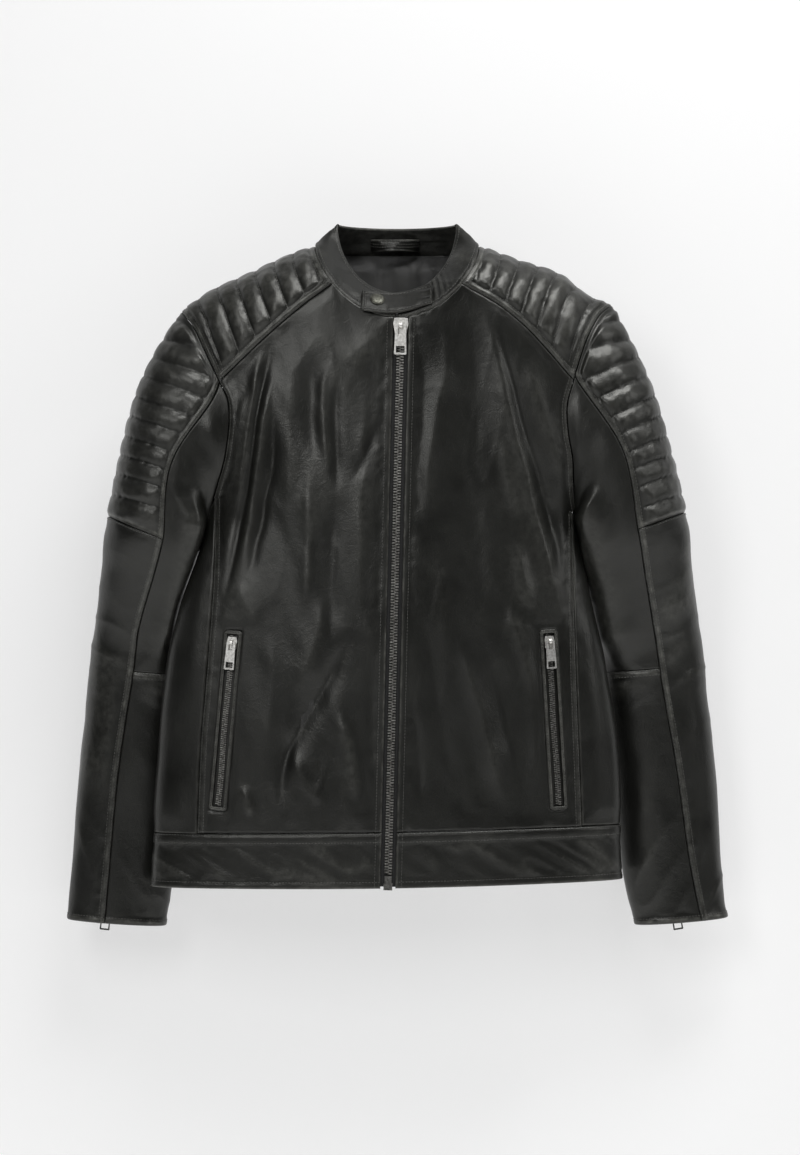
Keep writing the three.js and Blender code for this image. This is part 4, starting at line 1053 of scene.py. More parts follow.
def pocket_frame(side):
    """The pocket zip's origin, and its directions across, up and out."""
    (x0, z0), (x1, z1) = BODY[side]["pocket"]
    high, low = skin(x0, z0, 0, -1), skin(x1, z1, 0, -1)
    mx, mz, step = (x0 + x1) / 2, (z0 + z1) / 2, 2
    across = skin(mx + step, mz, 0, -1) - skin(mx - step, mz, 0, -1)
    rise = skin(mx, mz + step, 0, -1) - skin(mx, mz - step, 0, -1)
    return zip_frame(high, low, unit(np.cross(across, rise)))


def zip_frame(top, bottom, outwards):
    up = unit(top - bottom)
    across = unit(np.cross(up, outwards))
    return top, across, up, np.cross(across, up)


def local(p, zip_at):
    """How far points lie across and up from a zip's origin."""
    origin, across, up, _ = zip_at
    return (p - origin) @ across, (p - origin) @ up


def front_relief(side):
    zip_at = pocket_frame(side)

    def relief(s):
        across, up = local(s.p, zip_at)
        past_ends = np.maximum(up - POCKET_CALM["above"], -POCKET_CALM["below"] - up)
        beside = np.maximum(np.abs(across) - POCKET_CALM["half_width"], past_ends)
        calm = smooth(0, 16, s.edge) * smooth(0, 12, beside)
        fold = (folds(s.p, FRONT_FOLDS[side]) + hide_ripple(s.p)) * calm
        detail = strip(s, s.left, PANEL_ROWS, 7.6) + strip(s, s.right, (6.0,), 7.2, 0.6, 0)
        detail += strip(s, s.bottom, (), 0.1, 0, 0.7) + strip(s, s.top, (), 0.1, 0, 0.7)
        from_middle = np.abs(up + POCKET["slot_length"] / 2)
        from_slot = np.maximum(np.abs(across), from_middle - POCKET_SLOT["half_length"])
        slot = smooth(POCKET_SLOT["outer"], POCKET_SLOT["inner"], from_slot)
        return fold, detail * (1 - slot) - POCKET_SLOT["depth"] * slot

    return relief


BACK_FOLDS = [
    (((-128, -140), (-150, -230), (-156, -330)), 8.0, 3.2),
    (((-110, -130), (-138, -240), (-150, -350)), 7.0, -3.0),
    (((-60, -110), (-50, -260), (-62, -430)), 14.0, -2.6),
    (((30, -100), (22, -260), (34, -460)), 15.0, 2.8),
    (((92, -130), (86, -260), (70, -400)), 11.0, -3.0),
    (((138, -140), (148, -240), (160, -360)), 8.0, 3.2),
    (((-150, -350), (-110, -470), (-80, -590)), 12.0, 3.0),
    (((124, -390), (90, -500), (50, -598)), 13.0, 3.0),
    (((-16, -400), (-40, -500), (-70, -598)), 12.0, -3.0),
    (((-180, -262), (-140, -285), (-96, -330)), 6.0, 2.6),
    (((176, -252), (140, -276), (92, -322)), 6.0, 2.6),
    (((0, -30), (-6, -110), (-10, -200)), 16.0, 1.6),
]


def back_relief(s):
    fold = (folds(s.p, BACK_FOLDS) + hide_ripple(s.p)) * smooth(0, 18, s.edge)
    return fold, strip(s, s.side_gap, PANEL_ROWS, 7.6)


def side_relief(s):
    calm = smooth(0, 22, np.minimum(s.side_gap, s.bottom))
    return (1.5 + hide_ripple(s.p, 0.8)) * calm, strip(s, s.side_gap, (), 0.1, 0)


def hem_relief(s):
    slanted = turned(s.p, -32)
    wrinkle = 0.55 * noise(slanted, (60, 60, 9), 21) + 0.7 * (creases(slanted, (70, 70, 13), 22) - 0.35)
    wrinkle = wrinkle * smooth(0, 7, s.bottom - 7) * smooth(0, 8, s.top - 10)
    detail = strip(s, s.top, (1.5, 9.6), 10.6, 0.9) + strip(s, s.bottom, (6.5,), 7.5, 0.6, 0)
    return 0.5 * noise(s.p, (40, 60, 60), 23) + wrinkle, detail


def padding_cloth(obj):
    cloth = obj.modifiers.new("cloth", "CLOTH")
    settings = cloth.settings
    settings.quality = 6
    settings.mass = 0.2
    settings.tension_stiffness = settings.compression_stiffness = 25
    settings.shear_stiffness = 12
    settings.bending_stiffness = 0.25
    settings.vertex_group_mass = "held"
    settings.shrink_min = -CLOTH_FULLNESS
    settings.use_pressure = True
    settings.uniform_pressure_force = CLOTH_PRESSURE
    settings.effector_weights.gravity = 0
    cloth.collision_settings.use_collision = False
    cloth.point_cache.frame_start, cloth.point_cache.frame_end = 1, CLOTH_FRAMES


def settled_points(obj, shape):
    """Where a cloth's points are after its last frame, in mm."""
    scene = bpy.context.scene
    first_frame = scene.frame_current
    for number in range(1, CLOTH_FRAMES + 1):
        scene.frame_set(number)
    evaluated = obj.evaluated_get(bpy.context.evaluated_depsgraph_get())
    points = np.empty(int(np.prod(shape)))
    evaluated.data.vertices.foreach_get("co", points)
    mesh = obj.data
    bpy.data.objects.remove(obj)
    bpy.data.meshes.remove(mesh)
    scene.frame_set(first_frame)
    return points.reshape(shape) / MM


def inflate(sheet, phase, margin):
    """Cloth simulation of the padding: the leather is pinned along its stitched lines and its margins, cut
    a little full and blown out between them. Returns how far it stands out over the sheet's own grid."""
    coarse = Sheet(sheet.place, sheet.size, CLOTH_STEP, sheet.thickness)
    quads = grid_faces(*coarse.u.shape)
    turn = np.cross(coarse.p[1, 1] - coarse.p[0, 0], coarse.p[1, 0] - coarse.p[0, 1])
    if np.dot(turn, coarse.n[0, 0]) < 0:
        quads = quads[:, ::-1]
    obj = add_mesh("cloth_trial", coarse.p.reshape(-1, 3), quads, QUILT)
    lines = phase(coarse)
    held = np.abs(lines - np.round(lines)) < HELD_PHASE
    held |= (margin(coarse) < HELD_MARGIN) | (coarse.edge < CLOTH_STEP)
    group = obj.vertex_groups.new(name="held")
    group.add(np.flatnonzero(held.reshape(-1)).tolist(), 1.0, "REPLACE")
    padding_cloth(obj)
    out = np.sum((settled_points(obj, coarse.p.shape) - coarse.p) * coarse.n, axis=-1)
    out = np.clip(out / np.percentile(out, 92), -0.1, CLOTH_CAP)
    for _ in range(CLOTH_SMOOTHING):
        ringed = np.pad(out, 1, mode="edge")
        beside = ringed[:-2, 1:-1] + ringed[2:, 1:-1] + ringed[1:-1, :-2] + ringed[1:-1, 2:]
        out = (4 * out + beside) / 8
    return on_grid(out, *coarse.columns_rows(sheet.u, sheet.v))


def quilting(sheet, phase, margin, seed):
    """The padded ribs: their swelling, their creased crests and the tucks along their stitched lines."""
    where = phase(sheet)
    swell = puff(where)
    blown = inflate(sheet, phase, margin) * smooth(0, 0.09, np.abs(where - np.round(where)))
    swell = lerp(swell, blown, CLOTH_SHARE)
    tucks = 0.5 * noise(sheet.p, (6, 5, 6), seed) * smooth(0.15, 0.6, 1 - puff(where))
    height = RIB_HEIGHT * lerp(0.6, 1.0, smooth(0.1, 0.7, np.abs(sheet.n[..., 1])))
    height = height * (1 + 0.14 * noise(sheet.p, 26, seed + 1))
    return height * swell + crumple(sheet, seed + 2) * puff(where) + tucks


def yoke_phase(s):
    return YOKE_RIBS * s.u - 0.05 - 0.5 * np.abs(2 * s.v - 1)


def yoke_margin(s):
    return s.edge


def yoke_relief(s):
    fade = smooth(6.0, 11.0, s.end_gap) * smooth(5.5, 9.0, s.side_gap)
    ribs = quilting(s, yoke_phase, yoke_margin, 31)
    ends = 0.9 * creases(s.p, (9, 9, 16), 33) * np.exp(-(((s.end_gap - 12) / 8) ** 2))
    detail = strip(s, s.end_gap, QUILT_ROWS, 7.0, 1.1) + strip(s, s.side_gap, QUILT_ROWS, 6.6, 0.7)
    return (ribs + ends) * fade, detail


# Where the lines between the pad's ribs start on its outer edge (z in mm), and how far each drops from
# there to the front seam.
PAD_OUTER = (-62, -82, -102, -120, -139, -160, -180, -201, -221, -240, -262, -285)
PAD_DROP = (18, 19, 20, 28, 27, 25, 21, 19, 16, 16, 15, 15)


def pad_phase(side):
    front, back = SLEEVE[side]["front"], SLEEVE[side]["back"]

    def phase(s):
        station = PAD_END * s.v
        degrees = lerp(back(station), front(station), s.u)
        share = (1 - np.cos(np.radians(degrees))) / (1 - np.cos(np.radians(front(station))))
        lines = [outer - drop * share for outer, drop in zip(PAD_OUTER, PAD_DROP)]
        total = 0 * share
        for high, low in zip(lines, lines[1:]):
            total += np.clip((high - s.p[..., 2]) / (high - low), 0, 1)
        return total

    return phase


def pad_margin(s):
    return s.side_gap


def pad_relief(side):
    def relief(s):
        fade = smooth(6.0, 11.0, s.side_gap) * smooth(1.0, 5.0, s.top) * smooth(4.0, 9.0, s.bottom)
        ribs = quilting(s, pad_phase(side), pad_margin, 41)
        slanted = turned(s.p, 48 * -side)
        ends = 1.3 * creases(slanted, (26, 26, 8), 43) * np.exp(-(((s.side_gap - 16) / 14) ** 2))
        detail = strip(s, s.side_gap, QUILT_ROWS, 7.0, 1.1) + strip(s, s.top, (), 2.0, 0.2)
        return (ribs + ends) * fade, detail

    return relief


def towards_body(s, side, slack=1.0, most=12.0):
    """How far a sleeve's inner side hangs out to rest on the body, with a little more at the armpit."""
    x, z = side * s.p[..., 0], s.p[..., 2]
    gap = np.clip(x - BODY[side]["edge"](z) - slack, 0, most)
    facing = smooth(0.1, 0.6, -side * s.n[..., 0])
    snug = ARMPIT_SNUG * np.exp(-(((z - BODY[side]["armpit"]) / ARMPIT_REACH) ** 2))
    return (gap * smooth(-455, -400, z) * smooth(-250, -272, z) + snug) * facing


def sleeve_relief(side, seams):
    """Folds gather across the elbow and run down from the armpit."""

    def relief(s):
        z = s.p[..., 2]
        bend = np.exp(-(((z - ELBOW_Z) / 85) ** 2))
        slanted = turned(s.p, 28 * side)
        across = 1.5 * noise(slanted, (60, 60, 26), 51) + 1.3 * (creases(slanted, (70, 60, 24), 52) - 0.3)
        down = 1.3 * noise(turned(s.p, -8 * side), (26, 30, 150), 53)
        pit = 2.0 * noise(turned(s.p, -24 * side), (15, 24, 90), 54) * smooth(-360, -260, z)
        low = 0.9 * (creases(turned(s.p, 62 * side), (90, 60, 26), 55) - 0.3) * smooth(-560, -640, z)
        fold = across * bend + down * (1 - 0.5 * bend) + pit + low + hide_ripple(s.p, 0.5)
        other_edges = np.minimum(s.side_gap, s.top)
        fold = fold * smooth(0, 18, s.edge) + towards_body(s, side) * smooth(0, 6, other_edges)
        detail = 0 * z
        for which, rows, reach in seams:
            detail = detail + strip(s, getattr(s, which), rows, reach, 0.8, 0 if reach < 3 else 0.75)
        return fold, detail

    return relief


def collar_relief(s):
    angle = lerp(COLLAR_SLIT, 360 - COLLAR_SLIT, s.u)
    front = np.where(angle > 180, angle - 360, angle)
    root = np.exp(-(((front - 37) / 9) ** 2)) * smooth(0.05, 0.3, s.v) * smooth(1.02, 0.75, s.v)
    gathers = 1.5 * root * np.sin((front - 9 * s.v) * 1.15)
    ripple = 0.6 * noise(s.p, (30, 30, 18), 61) + 0.5 * (creases(s.p, (46, 40, 13), 62) - 0.3)
    back = smooth(110, 150, np.abs(front))
    rolls = back * (1.3 * noise(s.p, (60, 60, 7), 63) + 0.9 * (creases(s.p, (80, 60, 9), 64) - 0.3))
    fold = gathers + (ripple + rolls) * smooth(0, 6, s.end_gap)
    return fold, strip(s, s.bottom, (1.6, 5.6), 6.6, 0.7) + strip(s, s.top, (5.0,), 6.0, 0.4, 0)


def tab_relief(s):
    wrinkle = 0.35 * noise(s.p, (16, 16, 9), 71)
    root = np.exp(-(((s.u - 1.0) / 0.14) ** 2))
    gathers = root * np.sin(s.v * 17 + 3 * s.u)
    detail = strip(s, s.end_gap, (3.2,), 4.0, 0.35, 0) + strip(s, s.left, (3.2,), 4.0, 0.2, 0)
    return wrinkle * smooth(0, 4, s.edge) + gathers, detail


def loop_relief(s):
    return 0.2 * noise(s.p, 9, 72), strip(s, s.end_gap, (2.0,), 2.6, 0.2, 0)


def sleeve_lining_relief(s):
    hang = 0.8 * noise(s.p, (30, 30, 110), 83)
    return hang * smooth(0, 20, s.end_gap) * smooth(0, 12, s.side_gap), 0 * s.u


def lining_relief(s):
    hang = 2.6 * noise(turned(s.p, 9), (20, 40, 240), 81) + 1.5 * noise(turned(s.p, -12), (11, 30, 110), 82)
    pleats = 3.0 * (creases(turned(s.p, 7), (15, 40, 150), 84) - 0.3)
    return (hang + pleats) * smooth(0, 12, s.edge), 0 * s.u


# ------------------------------------------------------------------ the leather and lining pieces

threads = {body: Thread() for body in ("jacket", "collar_tab", "right_sleeve", "left_sleeve")}


def finish_piece(obj, body, slot_name, *nodes):
    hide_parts(*nodes)
    if body is not None:
        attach(obj, body)


def declare_sheet(obj, sheet, *rests_on):
    width, length = sheet.flat


def edge_wear(sheet, distance, width=1.6, strength=0.8):
    return strength * np.exp(-((distance / width) ** 2)) * (0.55 + 0.45 * noise(sheet.p, 12, 91))


def strip_wear_and_highlight(sheet, distance, middle=3.9, width=1.5, strength=0.75):
    """The middle of a seam's double-stitched strip made lighter, partly as rubbed wear and partly as a
    painted highlight.
    """
    band = np.exp(-(((distance - middle) / width) ** 2))
    return strength * band * (0.6 + 0.5 * noise(sheet.p, 6, 93))


# Painted highlight: the leather is lighter along the highest crests of its folds and ribs.
def crest_painted_highlight(sheet, strength=0.25):
    low, high = np.percentile(sheet.lift, (20, 98))
    return strength * smooth(low, high, sheet.lift) ** 2


def front_panel(side):
    place, kink = front_point(side, lambda z: ZIP_OPENING + side * zip_x(z))
    sheet = Sheet(place, (180, 520), 2.4, LEATHER, front_relief(side), breaks=(kink,), v_breaks=(0.5,))
    wear_and_painted_light = edge_wear(sheet, sheet.right) + 0.5 * edge_wear(sheet, sheet.left) + crest_painted_highlight(sheet, 0.12)
    wear_and_painted_light += strip_wear_and_highlight(sheet, sheet.left, strength=0.35)
    obj = sheet.build(f"{NAME[side]}_front_leather", HIDE, wear_and_painted_light)
    finish_piece(obj, "jacket", "leather", f"{NAME[side]}_front_panel")
    declare_sheet(obj, sheet, f"{NAME[side]}_shoulder_quilt")
    near, far = PANEL_ROWS
    rows = [("right", 6.0, 0.0, 0.985), ("left", near), ("left", far, 0.5, 1.0), ("left", far, 0.0, 0.5)]
    for row in rows:
        threads["jacket"].row(sheet.row(*row))


def back_panel():
    sheet = Sheet(back_point(), (380, 560), 3.2, LEATHER, back_relief, breaks=(0.5,), v_breaks=(0.5,))
    wear_and_painted_light = 0.5 * edge_wear(sheet, sheet.side_gap) + crest_painted_highlight(sheet, 0.12)
    obj = sheet.build("back_leather", HIDE, wear_and_painted_light)
    finish_piece(obj, "jacket", "leather", "back_panel")
    declare_sheet(obj, sheet, "right_shoulder_quilt", "left_shoulder_quilt")
    for which in ("left", "right"):
        for inset in PANEL_ROWS:
            threads["jacket"].row(sheet.row(which, inset))


def side_panel(side):
    sheet = Sheet(side_point(side), (100, 320), 3.0, LEATHER, side_relief)
    obj = sheet.build(f"{NAME[side]}_side_leather", HIDE, 0.5 * edge_wear(sheet, sheet.edge))
    finish_piece(obj, "jacket", "leather", f"{NAME[side]}_side_panel")
    declare_sheet(obj, sheet, f"{NAME[side]}_front_leather", "back_leather")


def hem_band(side, facing):
    front = facing < 0
    name = f"{NAME[side]}_hem_leather" if front else "back_hem_leather"
    node = f"{NAME[side]}_hem_band" if front else "hem_band_back"
    hangs_from = f"{NAME[side]}_front_leather" if front else "back_leather"
    size, step = ((240, 58), 2.2) if front else ((500, 58), 3.0)
    sheet = Sheet(hem_point(side, facing), size, step, BAND_LEATHER, hem_relief, rim=(0.5, 0.45))
    wear_and_painted_light = edge_wear(sheet, np.minimum(sheet.bottom, sheet.left)) + crest_painted_highlight(sheet, 0.2)
    obj = sheet.build(name, HIDE, wear_and_painted_light)
    finish_piece(obj, "jacket", "leather", node)
    declare_sheet(obj, sheet, hangs_from)
    rows = [("top", 1.5), ("top", 9.6), ("bottom", 6.5)]
    if front:
        rows.append(("left", 6.0))
    for row in rows:
        threads["jacket"].row(sheet.row(*row))


def shoulder_yoke(side):
    sheet = Sheet(yoke_point(side), (140, 200), 1.8, LEATHER, yoke_relief, v_breaks=(0.5,))
    wear_and_painted_light = 0.6 * edge_wear(sheet, sheet.edge) + crest_painted_highlight(sheet, 0.22) + strip_wear_and_highlight(sheet, sheet.edge)
    obj = sheet.build(f"{NAME[side]}_shoulder_quilt", QUILT, wear_and_painted_light)
    finish_piece(obj, "jacket", "quilted_leather", f"{NAME[side]}_shoulder_yoke")
    thread = threads["jacket"]
    for which in ("bottom", "top", "left", "right"):
        for inset in QUILT_ROWS:
            thread.row(sheet.row(which, inset, 0.02, 0.98))
    for k in range(1, YOKE_RIBS + 1):
        f = np.linspace(-0.94, 0.94, 120)
        u = (k + 0.05 + 0.5 * np.abs(f)) / YOKE_RIBS
        inside = u < 0.985
        thread.row(sheet.line(u[inside], (1 + f[inside]) / 2), 3.0)


def cuff_gap(sign):
    def opening(station):
        return sign * CUFF_OPENING["degrees"] * smooth(CUFF_OPENING["start"], CUFF_OPENING["end"], station)

    return opening


def blend_at_shoulder(obj):
    """Bakes the piece's world placing into its mesh."""
    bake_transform(obj)


def sleeve_piece(side, piece, sheet, look, blended=False, wear_and_highlight_sides=()):
    """Builds one sleeve panel, with wear and painted highlight along the seams named in
    wear_and_highlight_sides.
    """
    material, slot_name = look
    wear_and_painted_light = crest_painted_highlight(sheet, 0.15)
    for which in wear_and_highlight_sides:
        distance = getattr(sheet, which)
        wear_and_painted_light = wear_and_painted_light + 0.5 * edge_wear(sheet, distance) + strip_wear_and_highlight(sheet, distance)
    kind = "quilt" if piece == "pad" else f"{piece}_leather"
    obj = sheet.build(f"{NAME[side]}_sleeve_{kind}", material, wear_and_painted_light)
    body = None if blended else f"{NAME[side]}_sleeve"
    finish_piece(obj, body, slot_name, f"{NAME[side]}_sleeve_{piece}")
    if blended:
        blend_at_shoulder(obj)
    return obj


def sleeve_pad(side):
    place = sleeve_place(side, SLEEVE[side]["back"], SLEEVE[side]["front"], 0, PAD_END + 0.003)
    sheet = Sheet(place, (150, 190), 1.9, LEATHER, pad_relief(side))
    pad = sleeve_piece(side, "pad", sheet, (QUILT, "quilted_leather"), True, ("left", "right", "top"))
    for which in ("left", "right"):
        for inset in QUILT_ROWS:
            threads[f"{NAME[side]}_sleeve"].row(sheet.row(which, inset, 0.06))


def sleeve_outer(side):
    front, back = SLEEVE[side]["front"], SLEEVE[side]["back"]
    place = sleeve_place(side, back, front, PAD_END + 0.004, CUFF, cuff_gap(1))
    seams = [(which, QUILT_ROWS, 7.2) for which in ("right", "left")]
    seams += [("top", (6.5,), 7.5), ("bottom", (1.6,), 2.6)]
    sheet = Sheet(place, (120, 420), 2.6, LEATHER, sleeve_relief(side, seams))
    outer = sleeve_piece(side, "outer", sheet, (HIDE, "leather"), wear_and_highlight_sides=("right", "top"))
    declare_sheet(outer, sheet, f"{NAME[side]}_sleeve_quilt")
    near, far = QUILT_ROWS
    rows = (("right", near), ("left", near), ("right", far), ("left", far), ("top", 6.5), ("bottom", 1.8))
    for row in rows:
        threads[f"{NAME[side]}_sleeve"].row(sheet.row(*row))


def sleeve_under(side):
    """The under-sleeve's upper and lower panels, sewn across at the elbow."""
    front = SLEEVE[side]["front"]

    def round_back(station):
        return SLEEVE[side]["back"](station) + 360

    place = sleeve_place(side, front, round_back, 0, ELBOW + 0.002)
    sheet = Sheet(place, (140, 300), 2.8, LEATHER, sleeve_relief(side, ()))
    upper = sleeve_piece(side, "under_upper", sheet, (HIDE, "leather"), True)
    declare_sheet(upper, sheet, f"{NAME[side]}_sleeve_quilt")
    place = sleeve_place(side, front, round_back, ELBOW + 0.003, CUFF, cuff_gap(-1))
    seams = (("bottom", QUILT_ROWS, 7.2), ("top", (6.5,), 7.5))
    sheet = Sheet(place, (130, 270), 2.6, LEATHER, sleeve_relief(side, seams))
    lower = sleeve_piece(side, "under_lower", sheet, (HIDE, "leather"), wear_and_highlight_sides=("bottom", "top"))
    declare_sheet(lower, sheet, f"{NAME[side]}_sleeve_under_upper_leather")
    for which, inset in (("bottom", QUILT_ROWS[0]), ("bottom", QUILT_ROWS[1]), ("top", 6.5)):
        threads[f"{NAME[side]}_sleeve"].row(sheet.row(which, inset))


def sleeve_lining(side):
    first, last = 0.08, CUFF - 0.03

    def place(u, v, inset):
        station = lerp(first, last, v)
        inside = smooth(0, 0.25, station) * smooth(CUFF, CUFF - 0.35, station)
        depth = lerp(LEATHER + 0.8, SLEEVE_LINING_DEPTH, inside)
        return sleeve_point(side, lerp(-180, 180, u), station, depth + inset)

    sheet = Sheet(place, (250, 640), 6.0, LINING_THICKNESS, sleeve_lining_relief)
    obj = sheet.build(f"{NAME[side]}_sleeve_satin", SATIN)
    finish_piece(obj, None, "lining_fabric", f"{NAME[side]}_sleeve_lining")
    blend_at_shoulder(obj)
    declare_sheet(obj, sheet, f"{NAME[side]}_sleeve_quilt")


def collar():
    sheet = Sheet(collar_place, (430, 34), 1.8, BAND_LEATHER, collar_relief, rim=(0.5, 0.48))
    wear_and_painted_light = edge_wear(sheet, sheet.top, 1.4) + edge_wear(sheet, sheet.bottom, 1.2) + crest_painted_highlight(sheet, 0.15)
    # The band's inner face is painted lighter all over: painted light, where the lamps leave it dark.
    obj = sheet.build("collar_leather", BAND_HIDE_SHADED, wear_and_painted_light, inner_painted_light=0.25)
    finish_piece(obj, "jacket", "leather", "collar_band")
    declare_sheet(obj, sheet, "back_leather")
    for row in (("bottom", 1.6), ("bottom", 5.6), ("top", 5.0)):
        threads["jacket"].row(sheet.row(*row))


def tab():
    sheet = Sheet(tab_place, (82, 21), 1.2, TAB_THICKNESS, tab_relief, rim=(0.5, 0.45))
    obj = sheet.build("tab_leather_shaded", TAB_HIDE_SHADED, edge_wear(sheet, sheet.edge, 1.1, 0.9))
    finish_piece(obj, "collar_tab", "leather", "collar_tab")
    declare_sheet(obj, sheet, "collar_leather")
    for row in (("top", 3.2), ("bottom", 3.2), ("left", 3.2, 0.15, 0.85)):
        threads["collar_tab"].row(sheet.row(*row))


def loop():
    sheet = Sheet(loop_place, (70, 12), 1.2, LOOP["thickness"], loop_relief, rim=(0.5, 0.45))
    obj = sheet.build("hanger_loop_leather", HIDE, edge_wear(sheet, sheet.end_gap, 0.9, 0.9))
    finish_piece(obj, "jacket", "leather", "hanger_loop")
    declare_sheet(obj, sheet, "collar_leather")
    for inset in (2.0, 5.0, 8.0):
        threads["jacket"].row(sheet.row("top", inset), 2.8)


def body_linings():
    """The back lining and the two front linings, each turned up to the leather at its edges."""

    def turned_in(place):
        def at(u, v, inset):
            flat = place(u, v, 0 * u)
            edge = np.minimum(np.minimum(u, 1 - u) * 160, np.minimum(v, 1 - v) * 500)
            depth = lerp(LEATHER + 0.9, LINING_DEPTH, smooth(0, 16, edge))
            facing = np.where(flat[..., 1] < SIDE_PLANE_Y, -1, 1)
            y = skin_y(flat[..., 0], flat[..., 2], depth + inset, facing)
            return point(flat[..., 0], y, flat[..., 2])

        return at

    sheet = Sheet(turned_in(back_point(LINING_MARGIN)), (380, 560), 3.6, LINING_THICKNESS, lining_relief,
                  breaks=(0.5,), v_breaks=(0.5,))
    obj = sheet.build("back_satin", SATIN)
    finish_piece(obj, "jacket", "lining_fabric", "lining_back")
    declare_sheet(obj, sheet, "back_leather")
    for side in (RIGHT, LEFT):
        place, kink = front_point(side, lambda z: 0 * z + FACING_WIDTH, LINING_MARGIN)
        sheet = Sheet(turned_in(place), (150, 520), 5.0, LINING_THICKNESS, lining_relief,
                      breaks=(kink,), v_breaks=(0.5,))
        obj = sheet.build(f"{NAME[side]}_front_satin", SATIN)
        finish_piece(obj, "jacket", "lining_fabric", f"{NAME[side]}_front_lining")
        declare_sheet(obj, sheet, f"{NAME[side]}_front_leather")


# ------------------------------------------------------------------ pockets and zips


def rounded_frame(half_across, half_length, radius, step):
    """Points round a rectangle with round corners, with the outward direction at each."""
    points, outward = [], []
    corners = ((1, 1, 0), (-1, 1, 90), (-1, -1, 180), (1, -1, 270))
    for index, (sx, sy, first) in enumerate(corners):
        cx, cy = sx * (half_across - radius), sy * (half_length - radius)
        for k in range(9):
            angle = math.radians(first + 90 * k / 8)
            outward.append((math.cos(angle), math.sin(angle)))
            points.append((cx + radius * outward[-1][0], cy + radius * outward[-1][1]))
        nx, ny, next_first = corners[(index + 1) % 4]
        angle = math.radians(next_first)
        end = (nx * (half_across - radius) + radius * math.cos(angle),
               ny * (half_length - radius) + radius * math.sin(angle))
        start = points[-1]
        pieces = max(1, int(math.hypot(end[0] - start[0], end[1] - start[1]) / step))
        for k in range(1, pieces):
            points.append((lerp(start[0], end[0], k / pieces), lerp(start[1], end[1], k / pieces)))
            outward.append(outward[-1])
    return np.array(points), np.array(outward)


# The welt's section: how far in from its outer edge, and how high, at each of its points.
WELT_SECTION = ((0.0, -1.6), (0.0, -0.2), (0.35, 0.5), (0.9, 0.85), (1.8, 0.95), (2.2, 0.6),
                (2.6, 0.62), (3.1, 1.0), (3.7, 0.95), (4.15, 0.5), (4.2, -0.4), (4.2, -2.6))
WELT_CRESTS = (4, 7, 8)
WELT_STITCH = dict(inset=2.4, height=0.62, pitch=2.9)


def pocket(side):
    name = NAME[side]
    zip_at = pocket_frame(side)
    origin, across, up, out = zip_at
    middle = -(POCKET["slot_length"] / 2)
    rim, outward = rounded_frame(POCKET["width"] / 2, POCKET["length"] / 2, POCKET["corner"], 2.5)
    count = len(rim)

    def placed(inset, height):
        """The rim moved in by an inset and laid on the front's skin at a height."""
        flat = rim - inset * outward
        p = origin + flat[:, :1] * across + (flat[:, 1:] + middle) * up
        base = skin(p[:, 0], p[:, 2], 0, -1)
        wander = 0.25 * noise(base, 14, 95)
        return base + (height + wander)[:, None] * out

    rings = [placed(inset, height) for inset, height in WELT_SECTION]
    faces = ring_faces(len(rings), count, closed=True)
    obj = add_mesh(f"{name}_welt_leather", np.concatenate(rings), faces, HIDE)
    # The welt's raised crests are lighter than the rest: a painted highlight.
    wear_and_painted_light = [np.full(count, 0.55 if index in WELT_CRESTS else 0.05) for index in range(len(rings))]
    obj.data.attributes.new("wear_and_painted_light", "FLOAT", "POINT").data.foreach_set("value", np.concatenate(wear_and_painted_light))
    finish_piece(obj, "jacket", "leather", f"{name}_pocket_welt")
    row = placed(WELT_STITCH["inset"], WELT_STITCH["height"])
    row = np.concatenate([row, row[:1]])
    threads["jacket"].row((row, np.tile(out, (count + 1, 1))), WELT_STITCH["pitch"])
    teeth(f"{name}_pocket_teeth", f"{name}_pocket_zip_teeth", "jacket", zip_at, (RIGHT, LEFT),
          half=3.0, pitch=2.3, start=1.0, end=POCKET["slot_length"] - 1, sway=0.55)


def tooth_shape(half, pitch, sign):
    """One tooth: it grips the tape at its outer end and reaches past the centre line at its head."""
    head, shoulder, tail = -0.16 * half, 0.35 * half, 0.93 * half
    wide, narrow = 0.62 * pitch / 2, 0.34 * pitch / 2
    base = [(head, narrow), (shoulder, wide), (tail, wide), (tail, -wide), (shoulder, -wide), (head, -narrow)]
    levels = ((1.0, -2.5), (1.0, -0.75), (0.72, -0.3))
    vertices = []
    for shrink, height in levels:
        for x, y in base:
            vertices.append((sign * (x + (1 - shrink) * 0.35), y * shrink, height))
    sides, total = len(base), len(vertices)
    faces = ring_faces(len(levels), sides) + [tuple(range(sides))[::-1], tuple(range(total - sides, total))]
    if sign > 0:
        faces = [face[::-1] for face in faces]
    return np.array(vertices), faces


def teeth(name, node, body, zip_at, signs, half, pitch, start, end, sway=0.0):
    """The teeth of one side of a zip or of both, from start to end below its origin. Sway bends the row."""
    origin, across, up, out = zip_at
    vertices, faces, count = [], [], 0
    for sign in signs:
        template, shape = tooth_shape(half, pitch, sign)
        for k in range(int((end - start) / pitch)):
            down = start + (k + (0.25 if sign < 0 else 0.75)) * pitch
            shift = sway * math.sin(2 * math.pi * down / 118.0) * min(1, max(0, (down - 34) / 50))
            place = origin + shift * across - down * up - TOOTH_DEPTH * out
            vertices.append(place + template[:, :1] * across + template[:, 1:2] * up + template[:, 2:] * out)
            faces += [tuple(count + i for i in face) for face in shape]
            count += len(template)
    obj = add_mesh(name, np.concatenate(vertices), faces, TEETH, smooth_faces=False)
    finish_piece(obj, body, "zip_nickel", node)


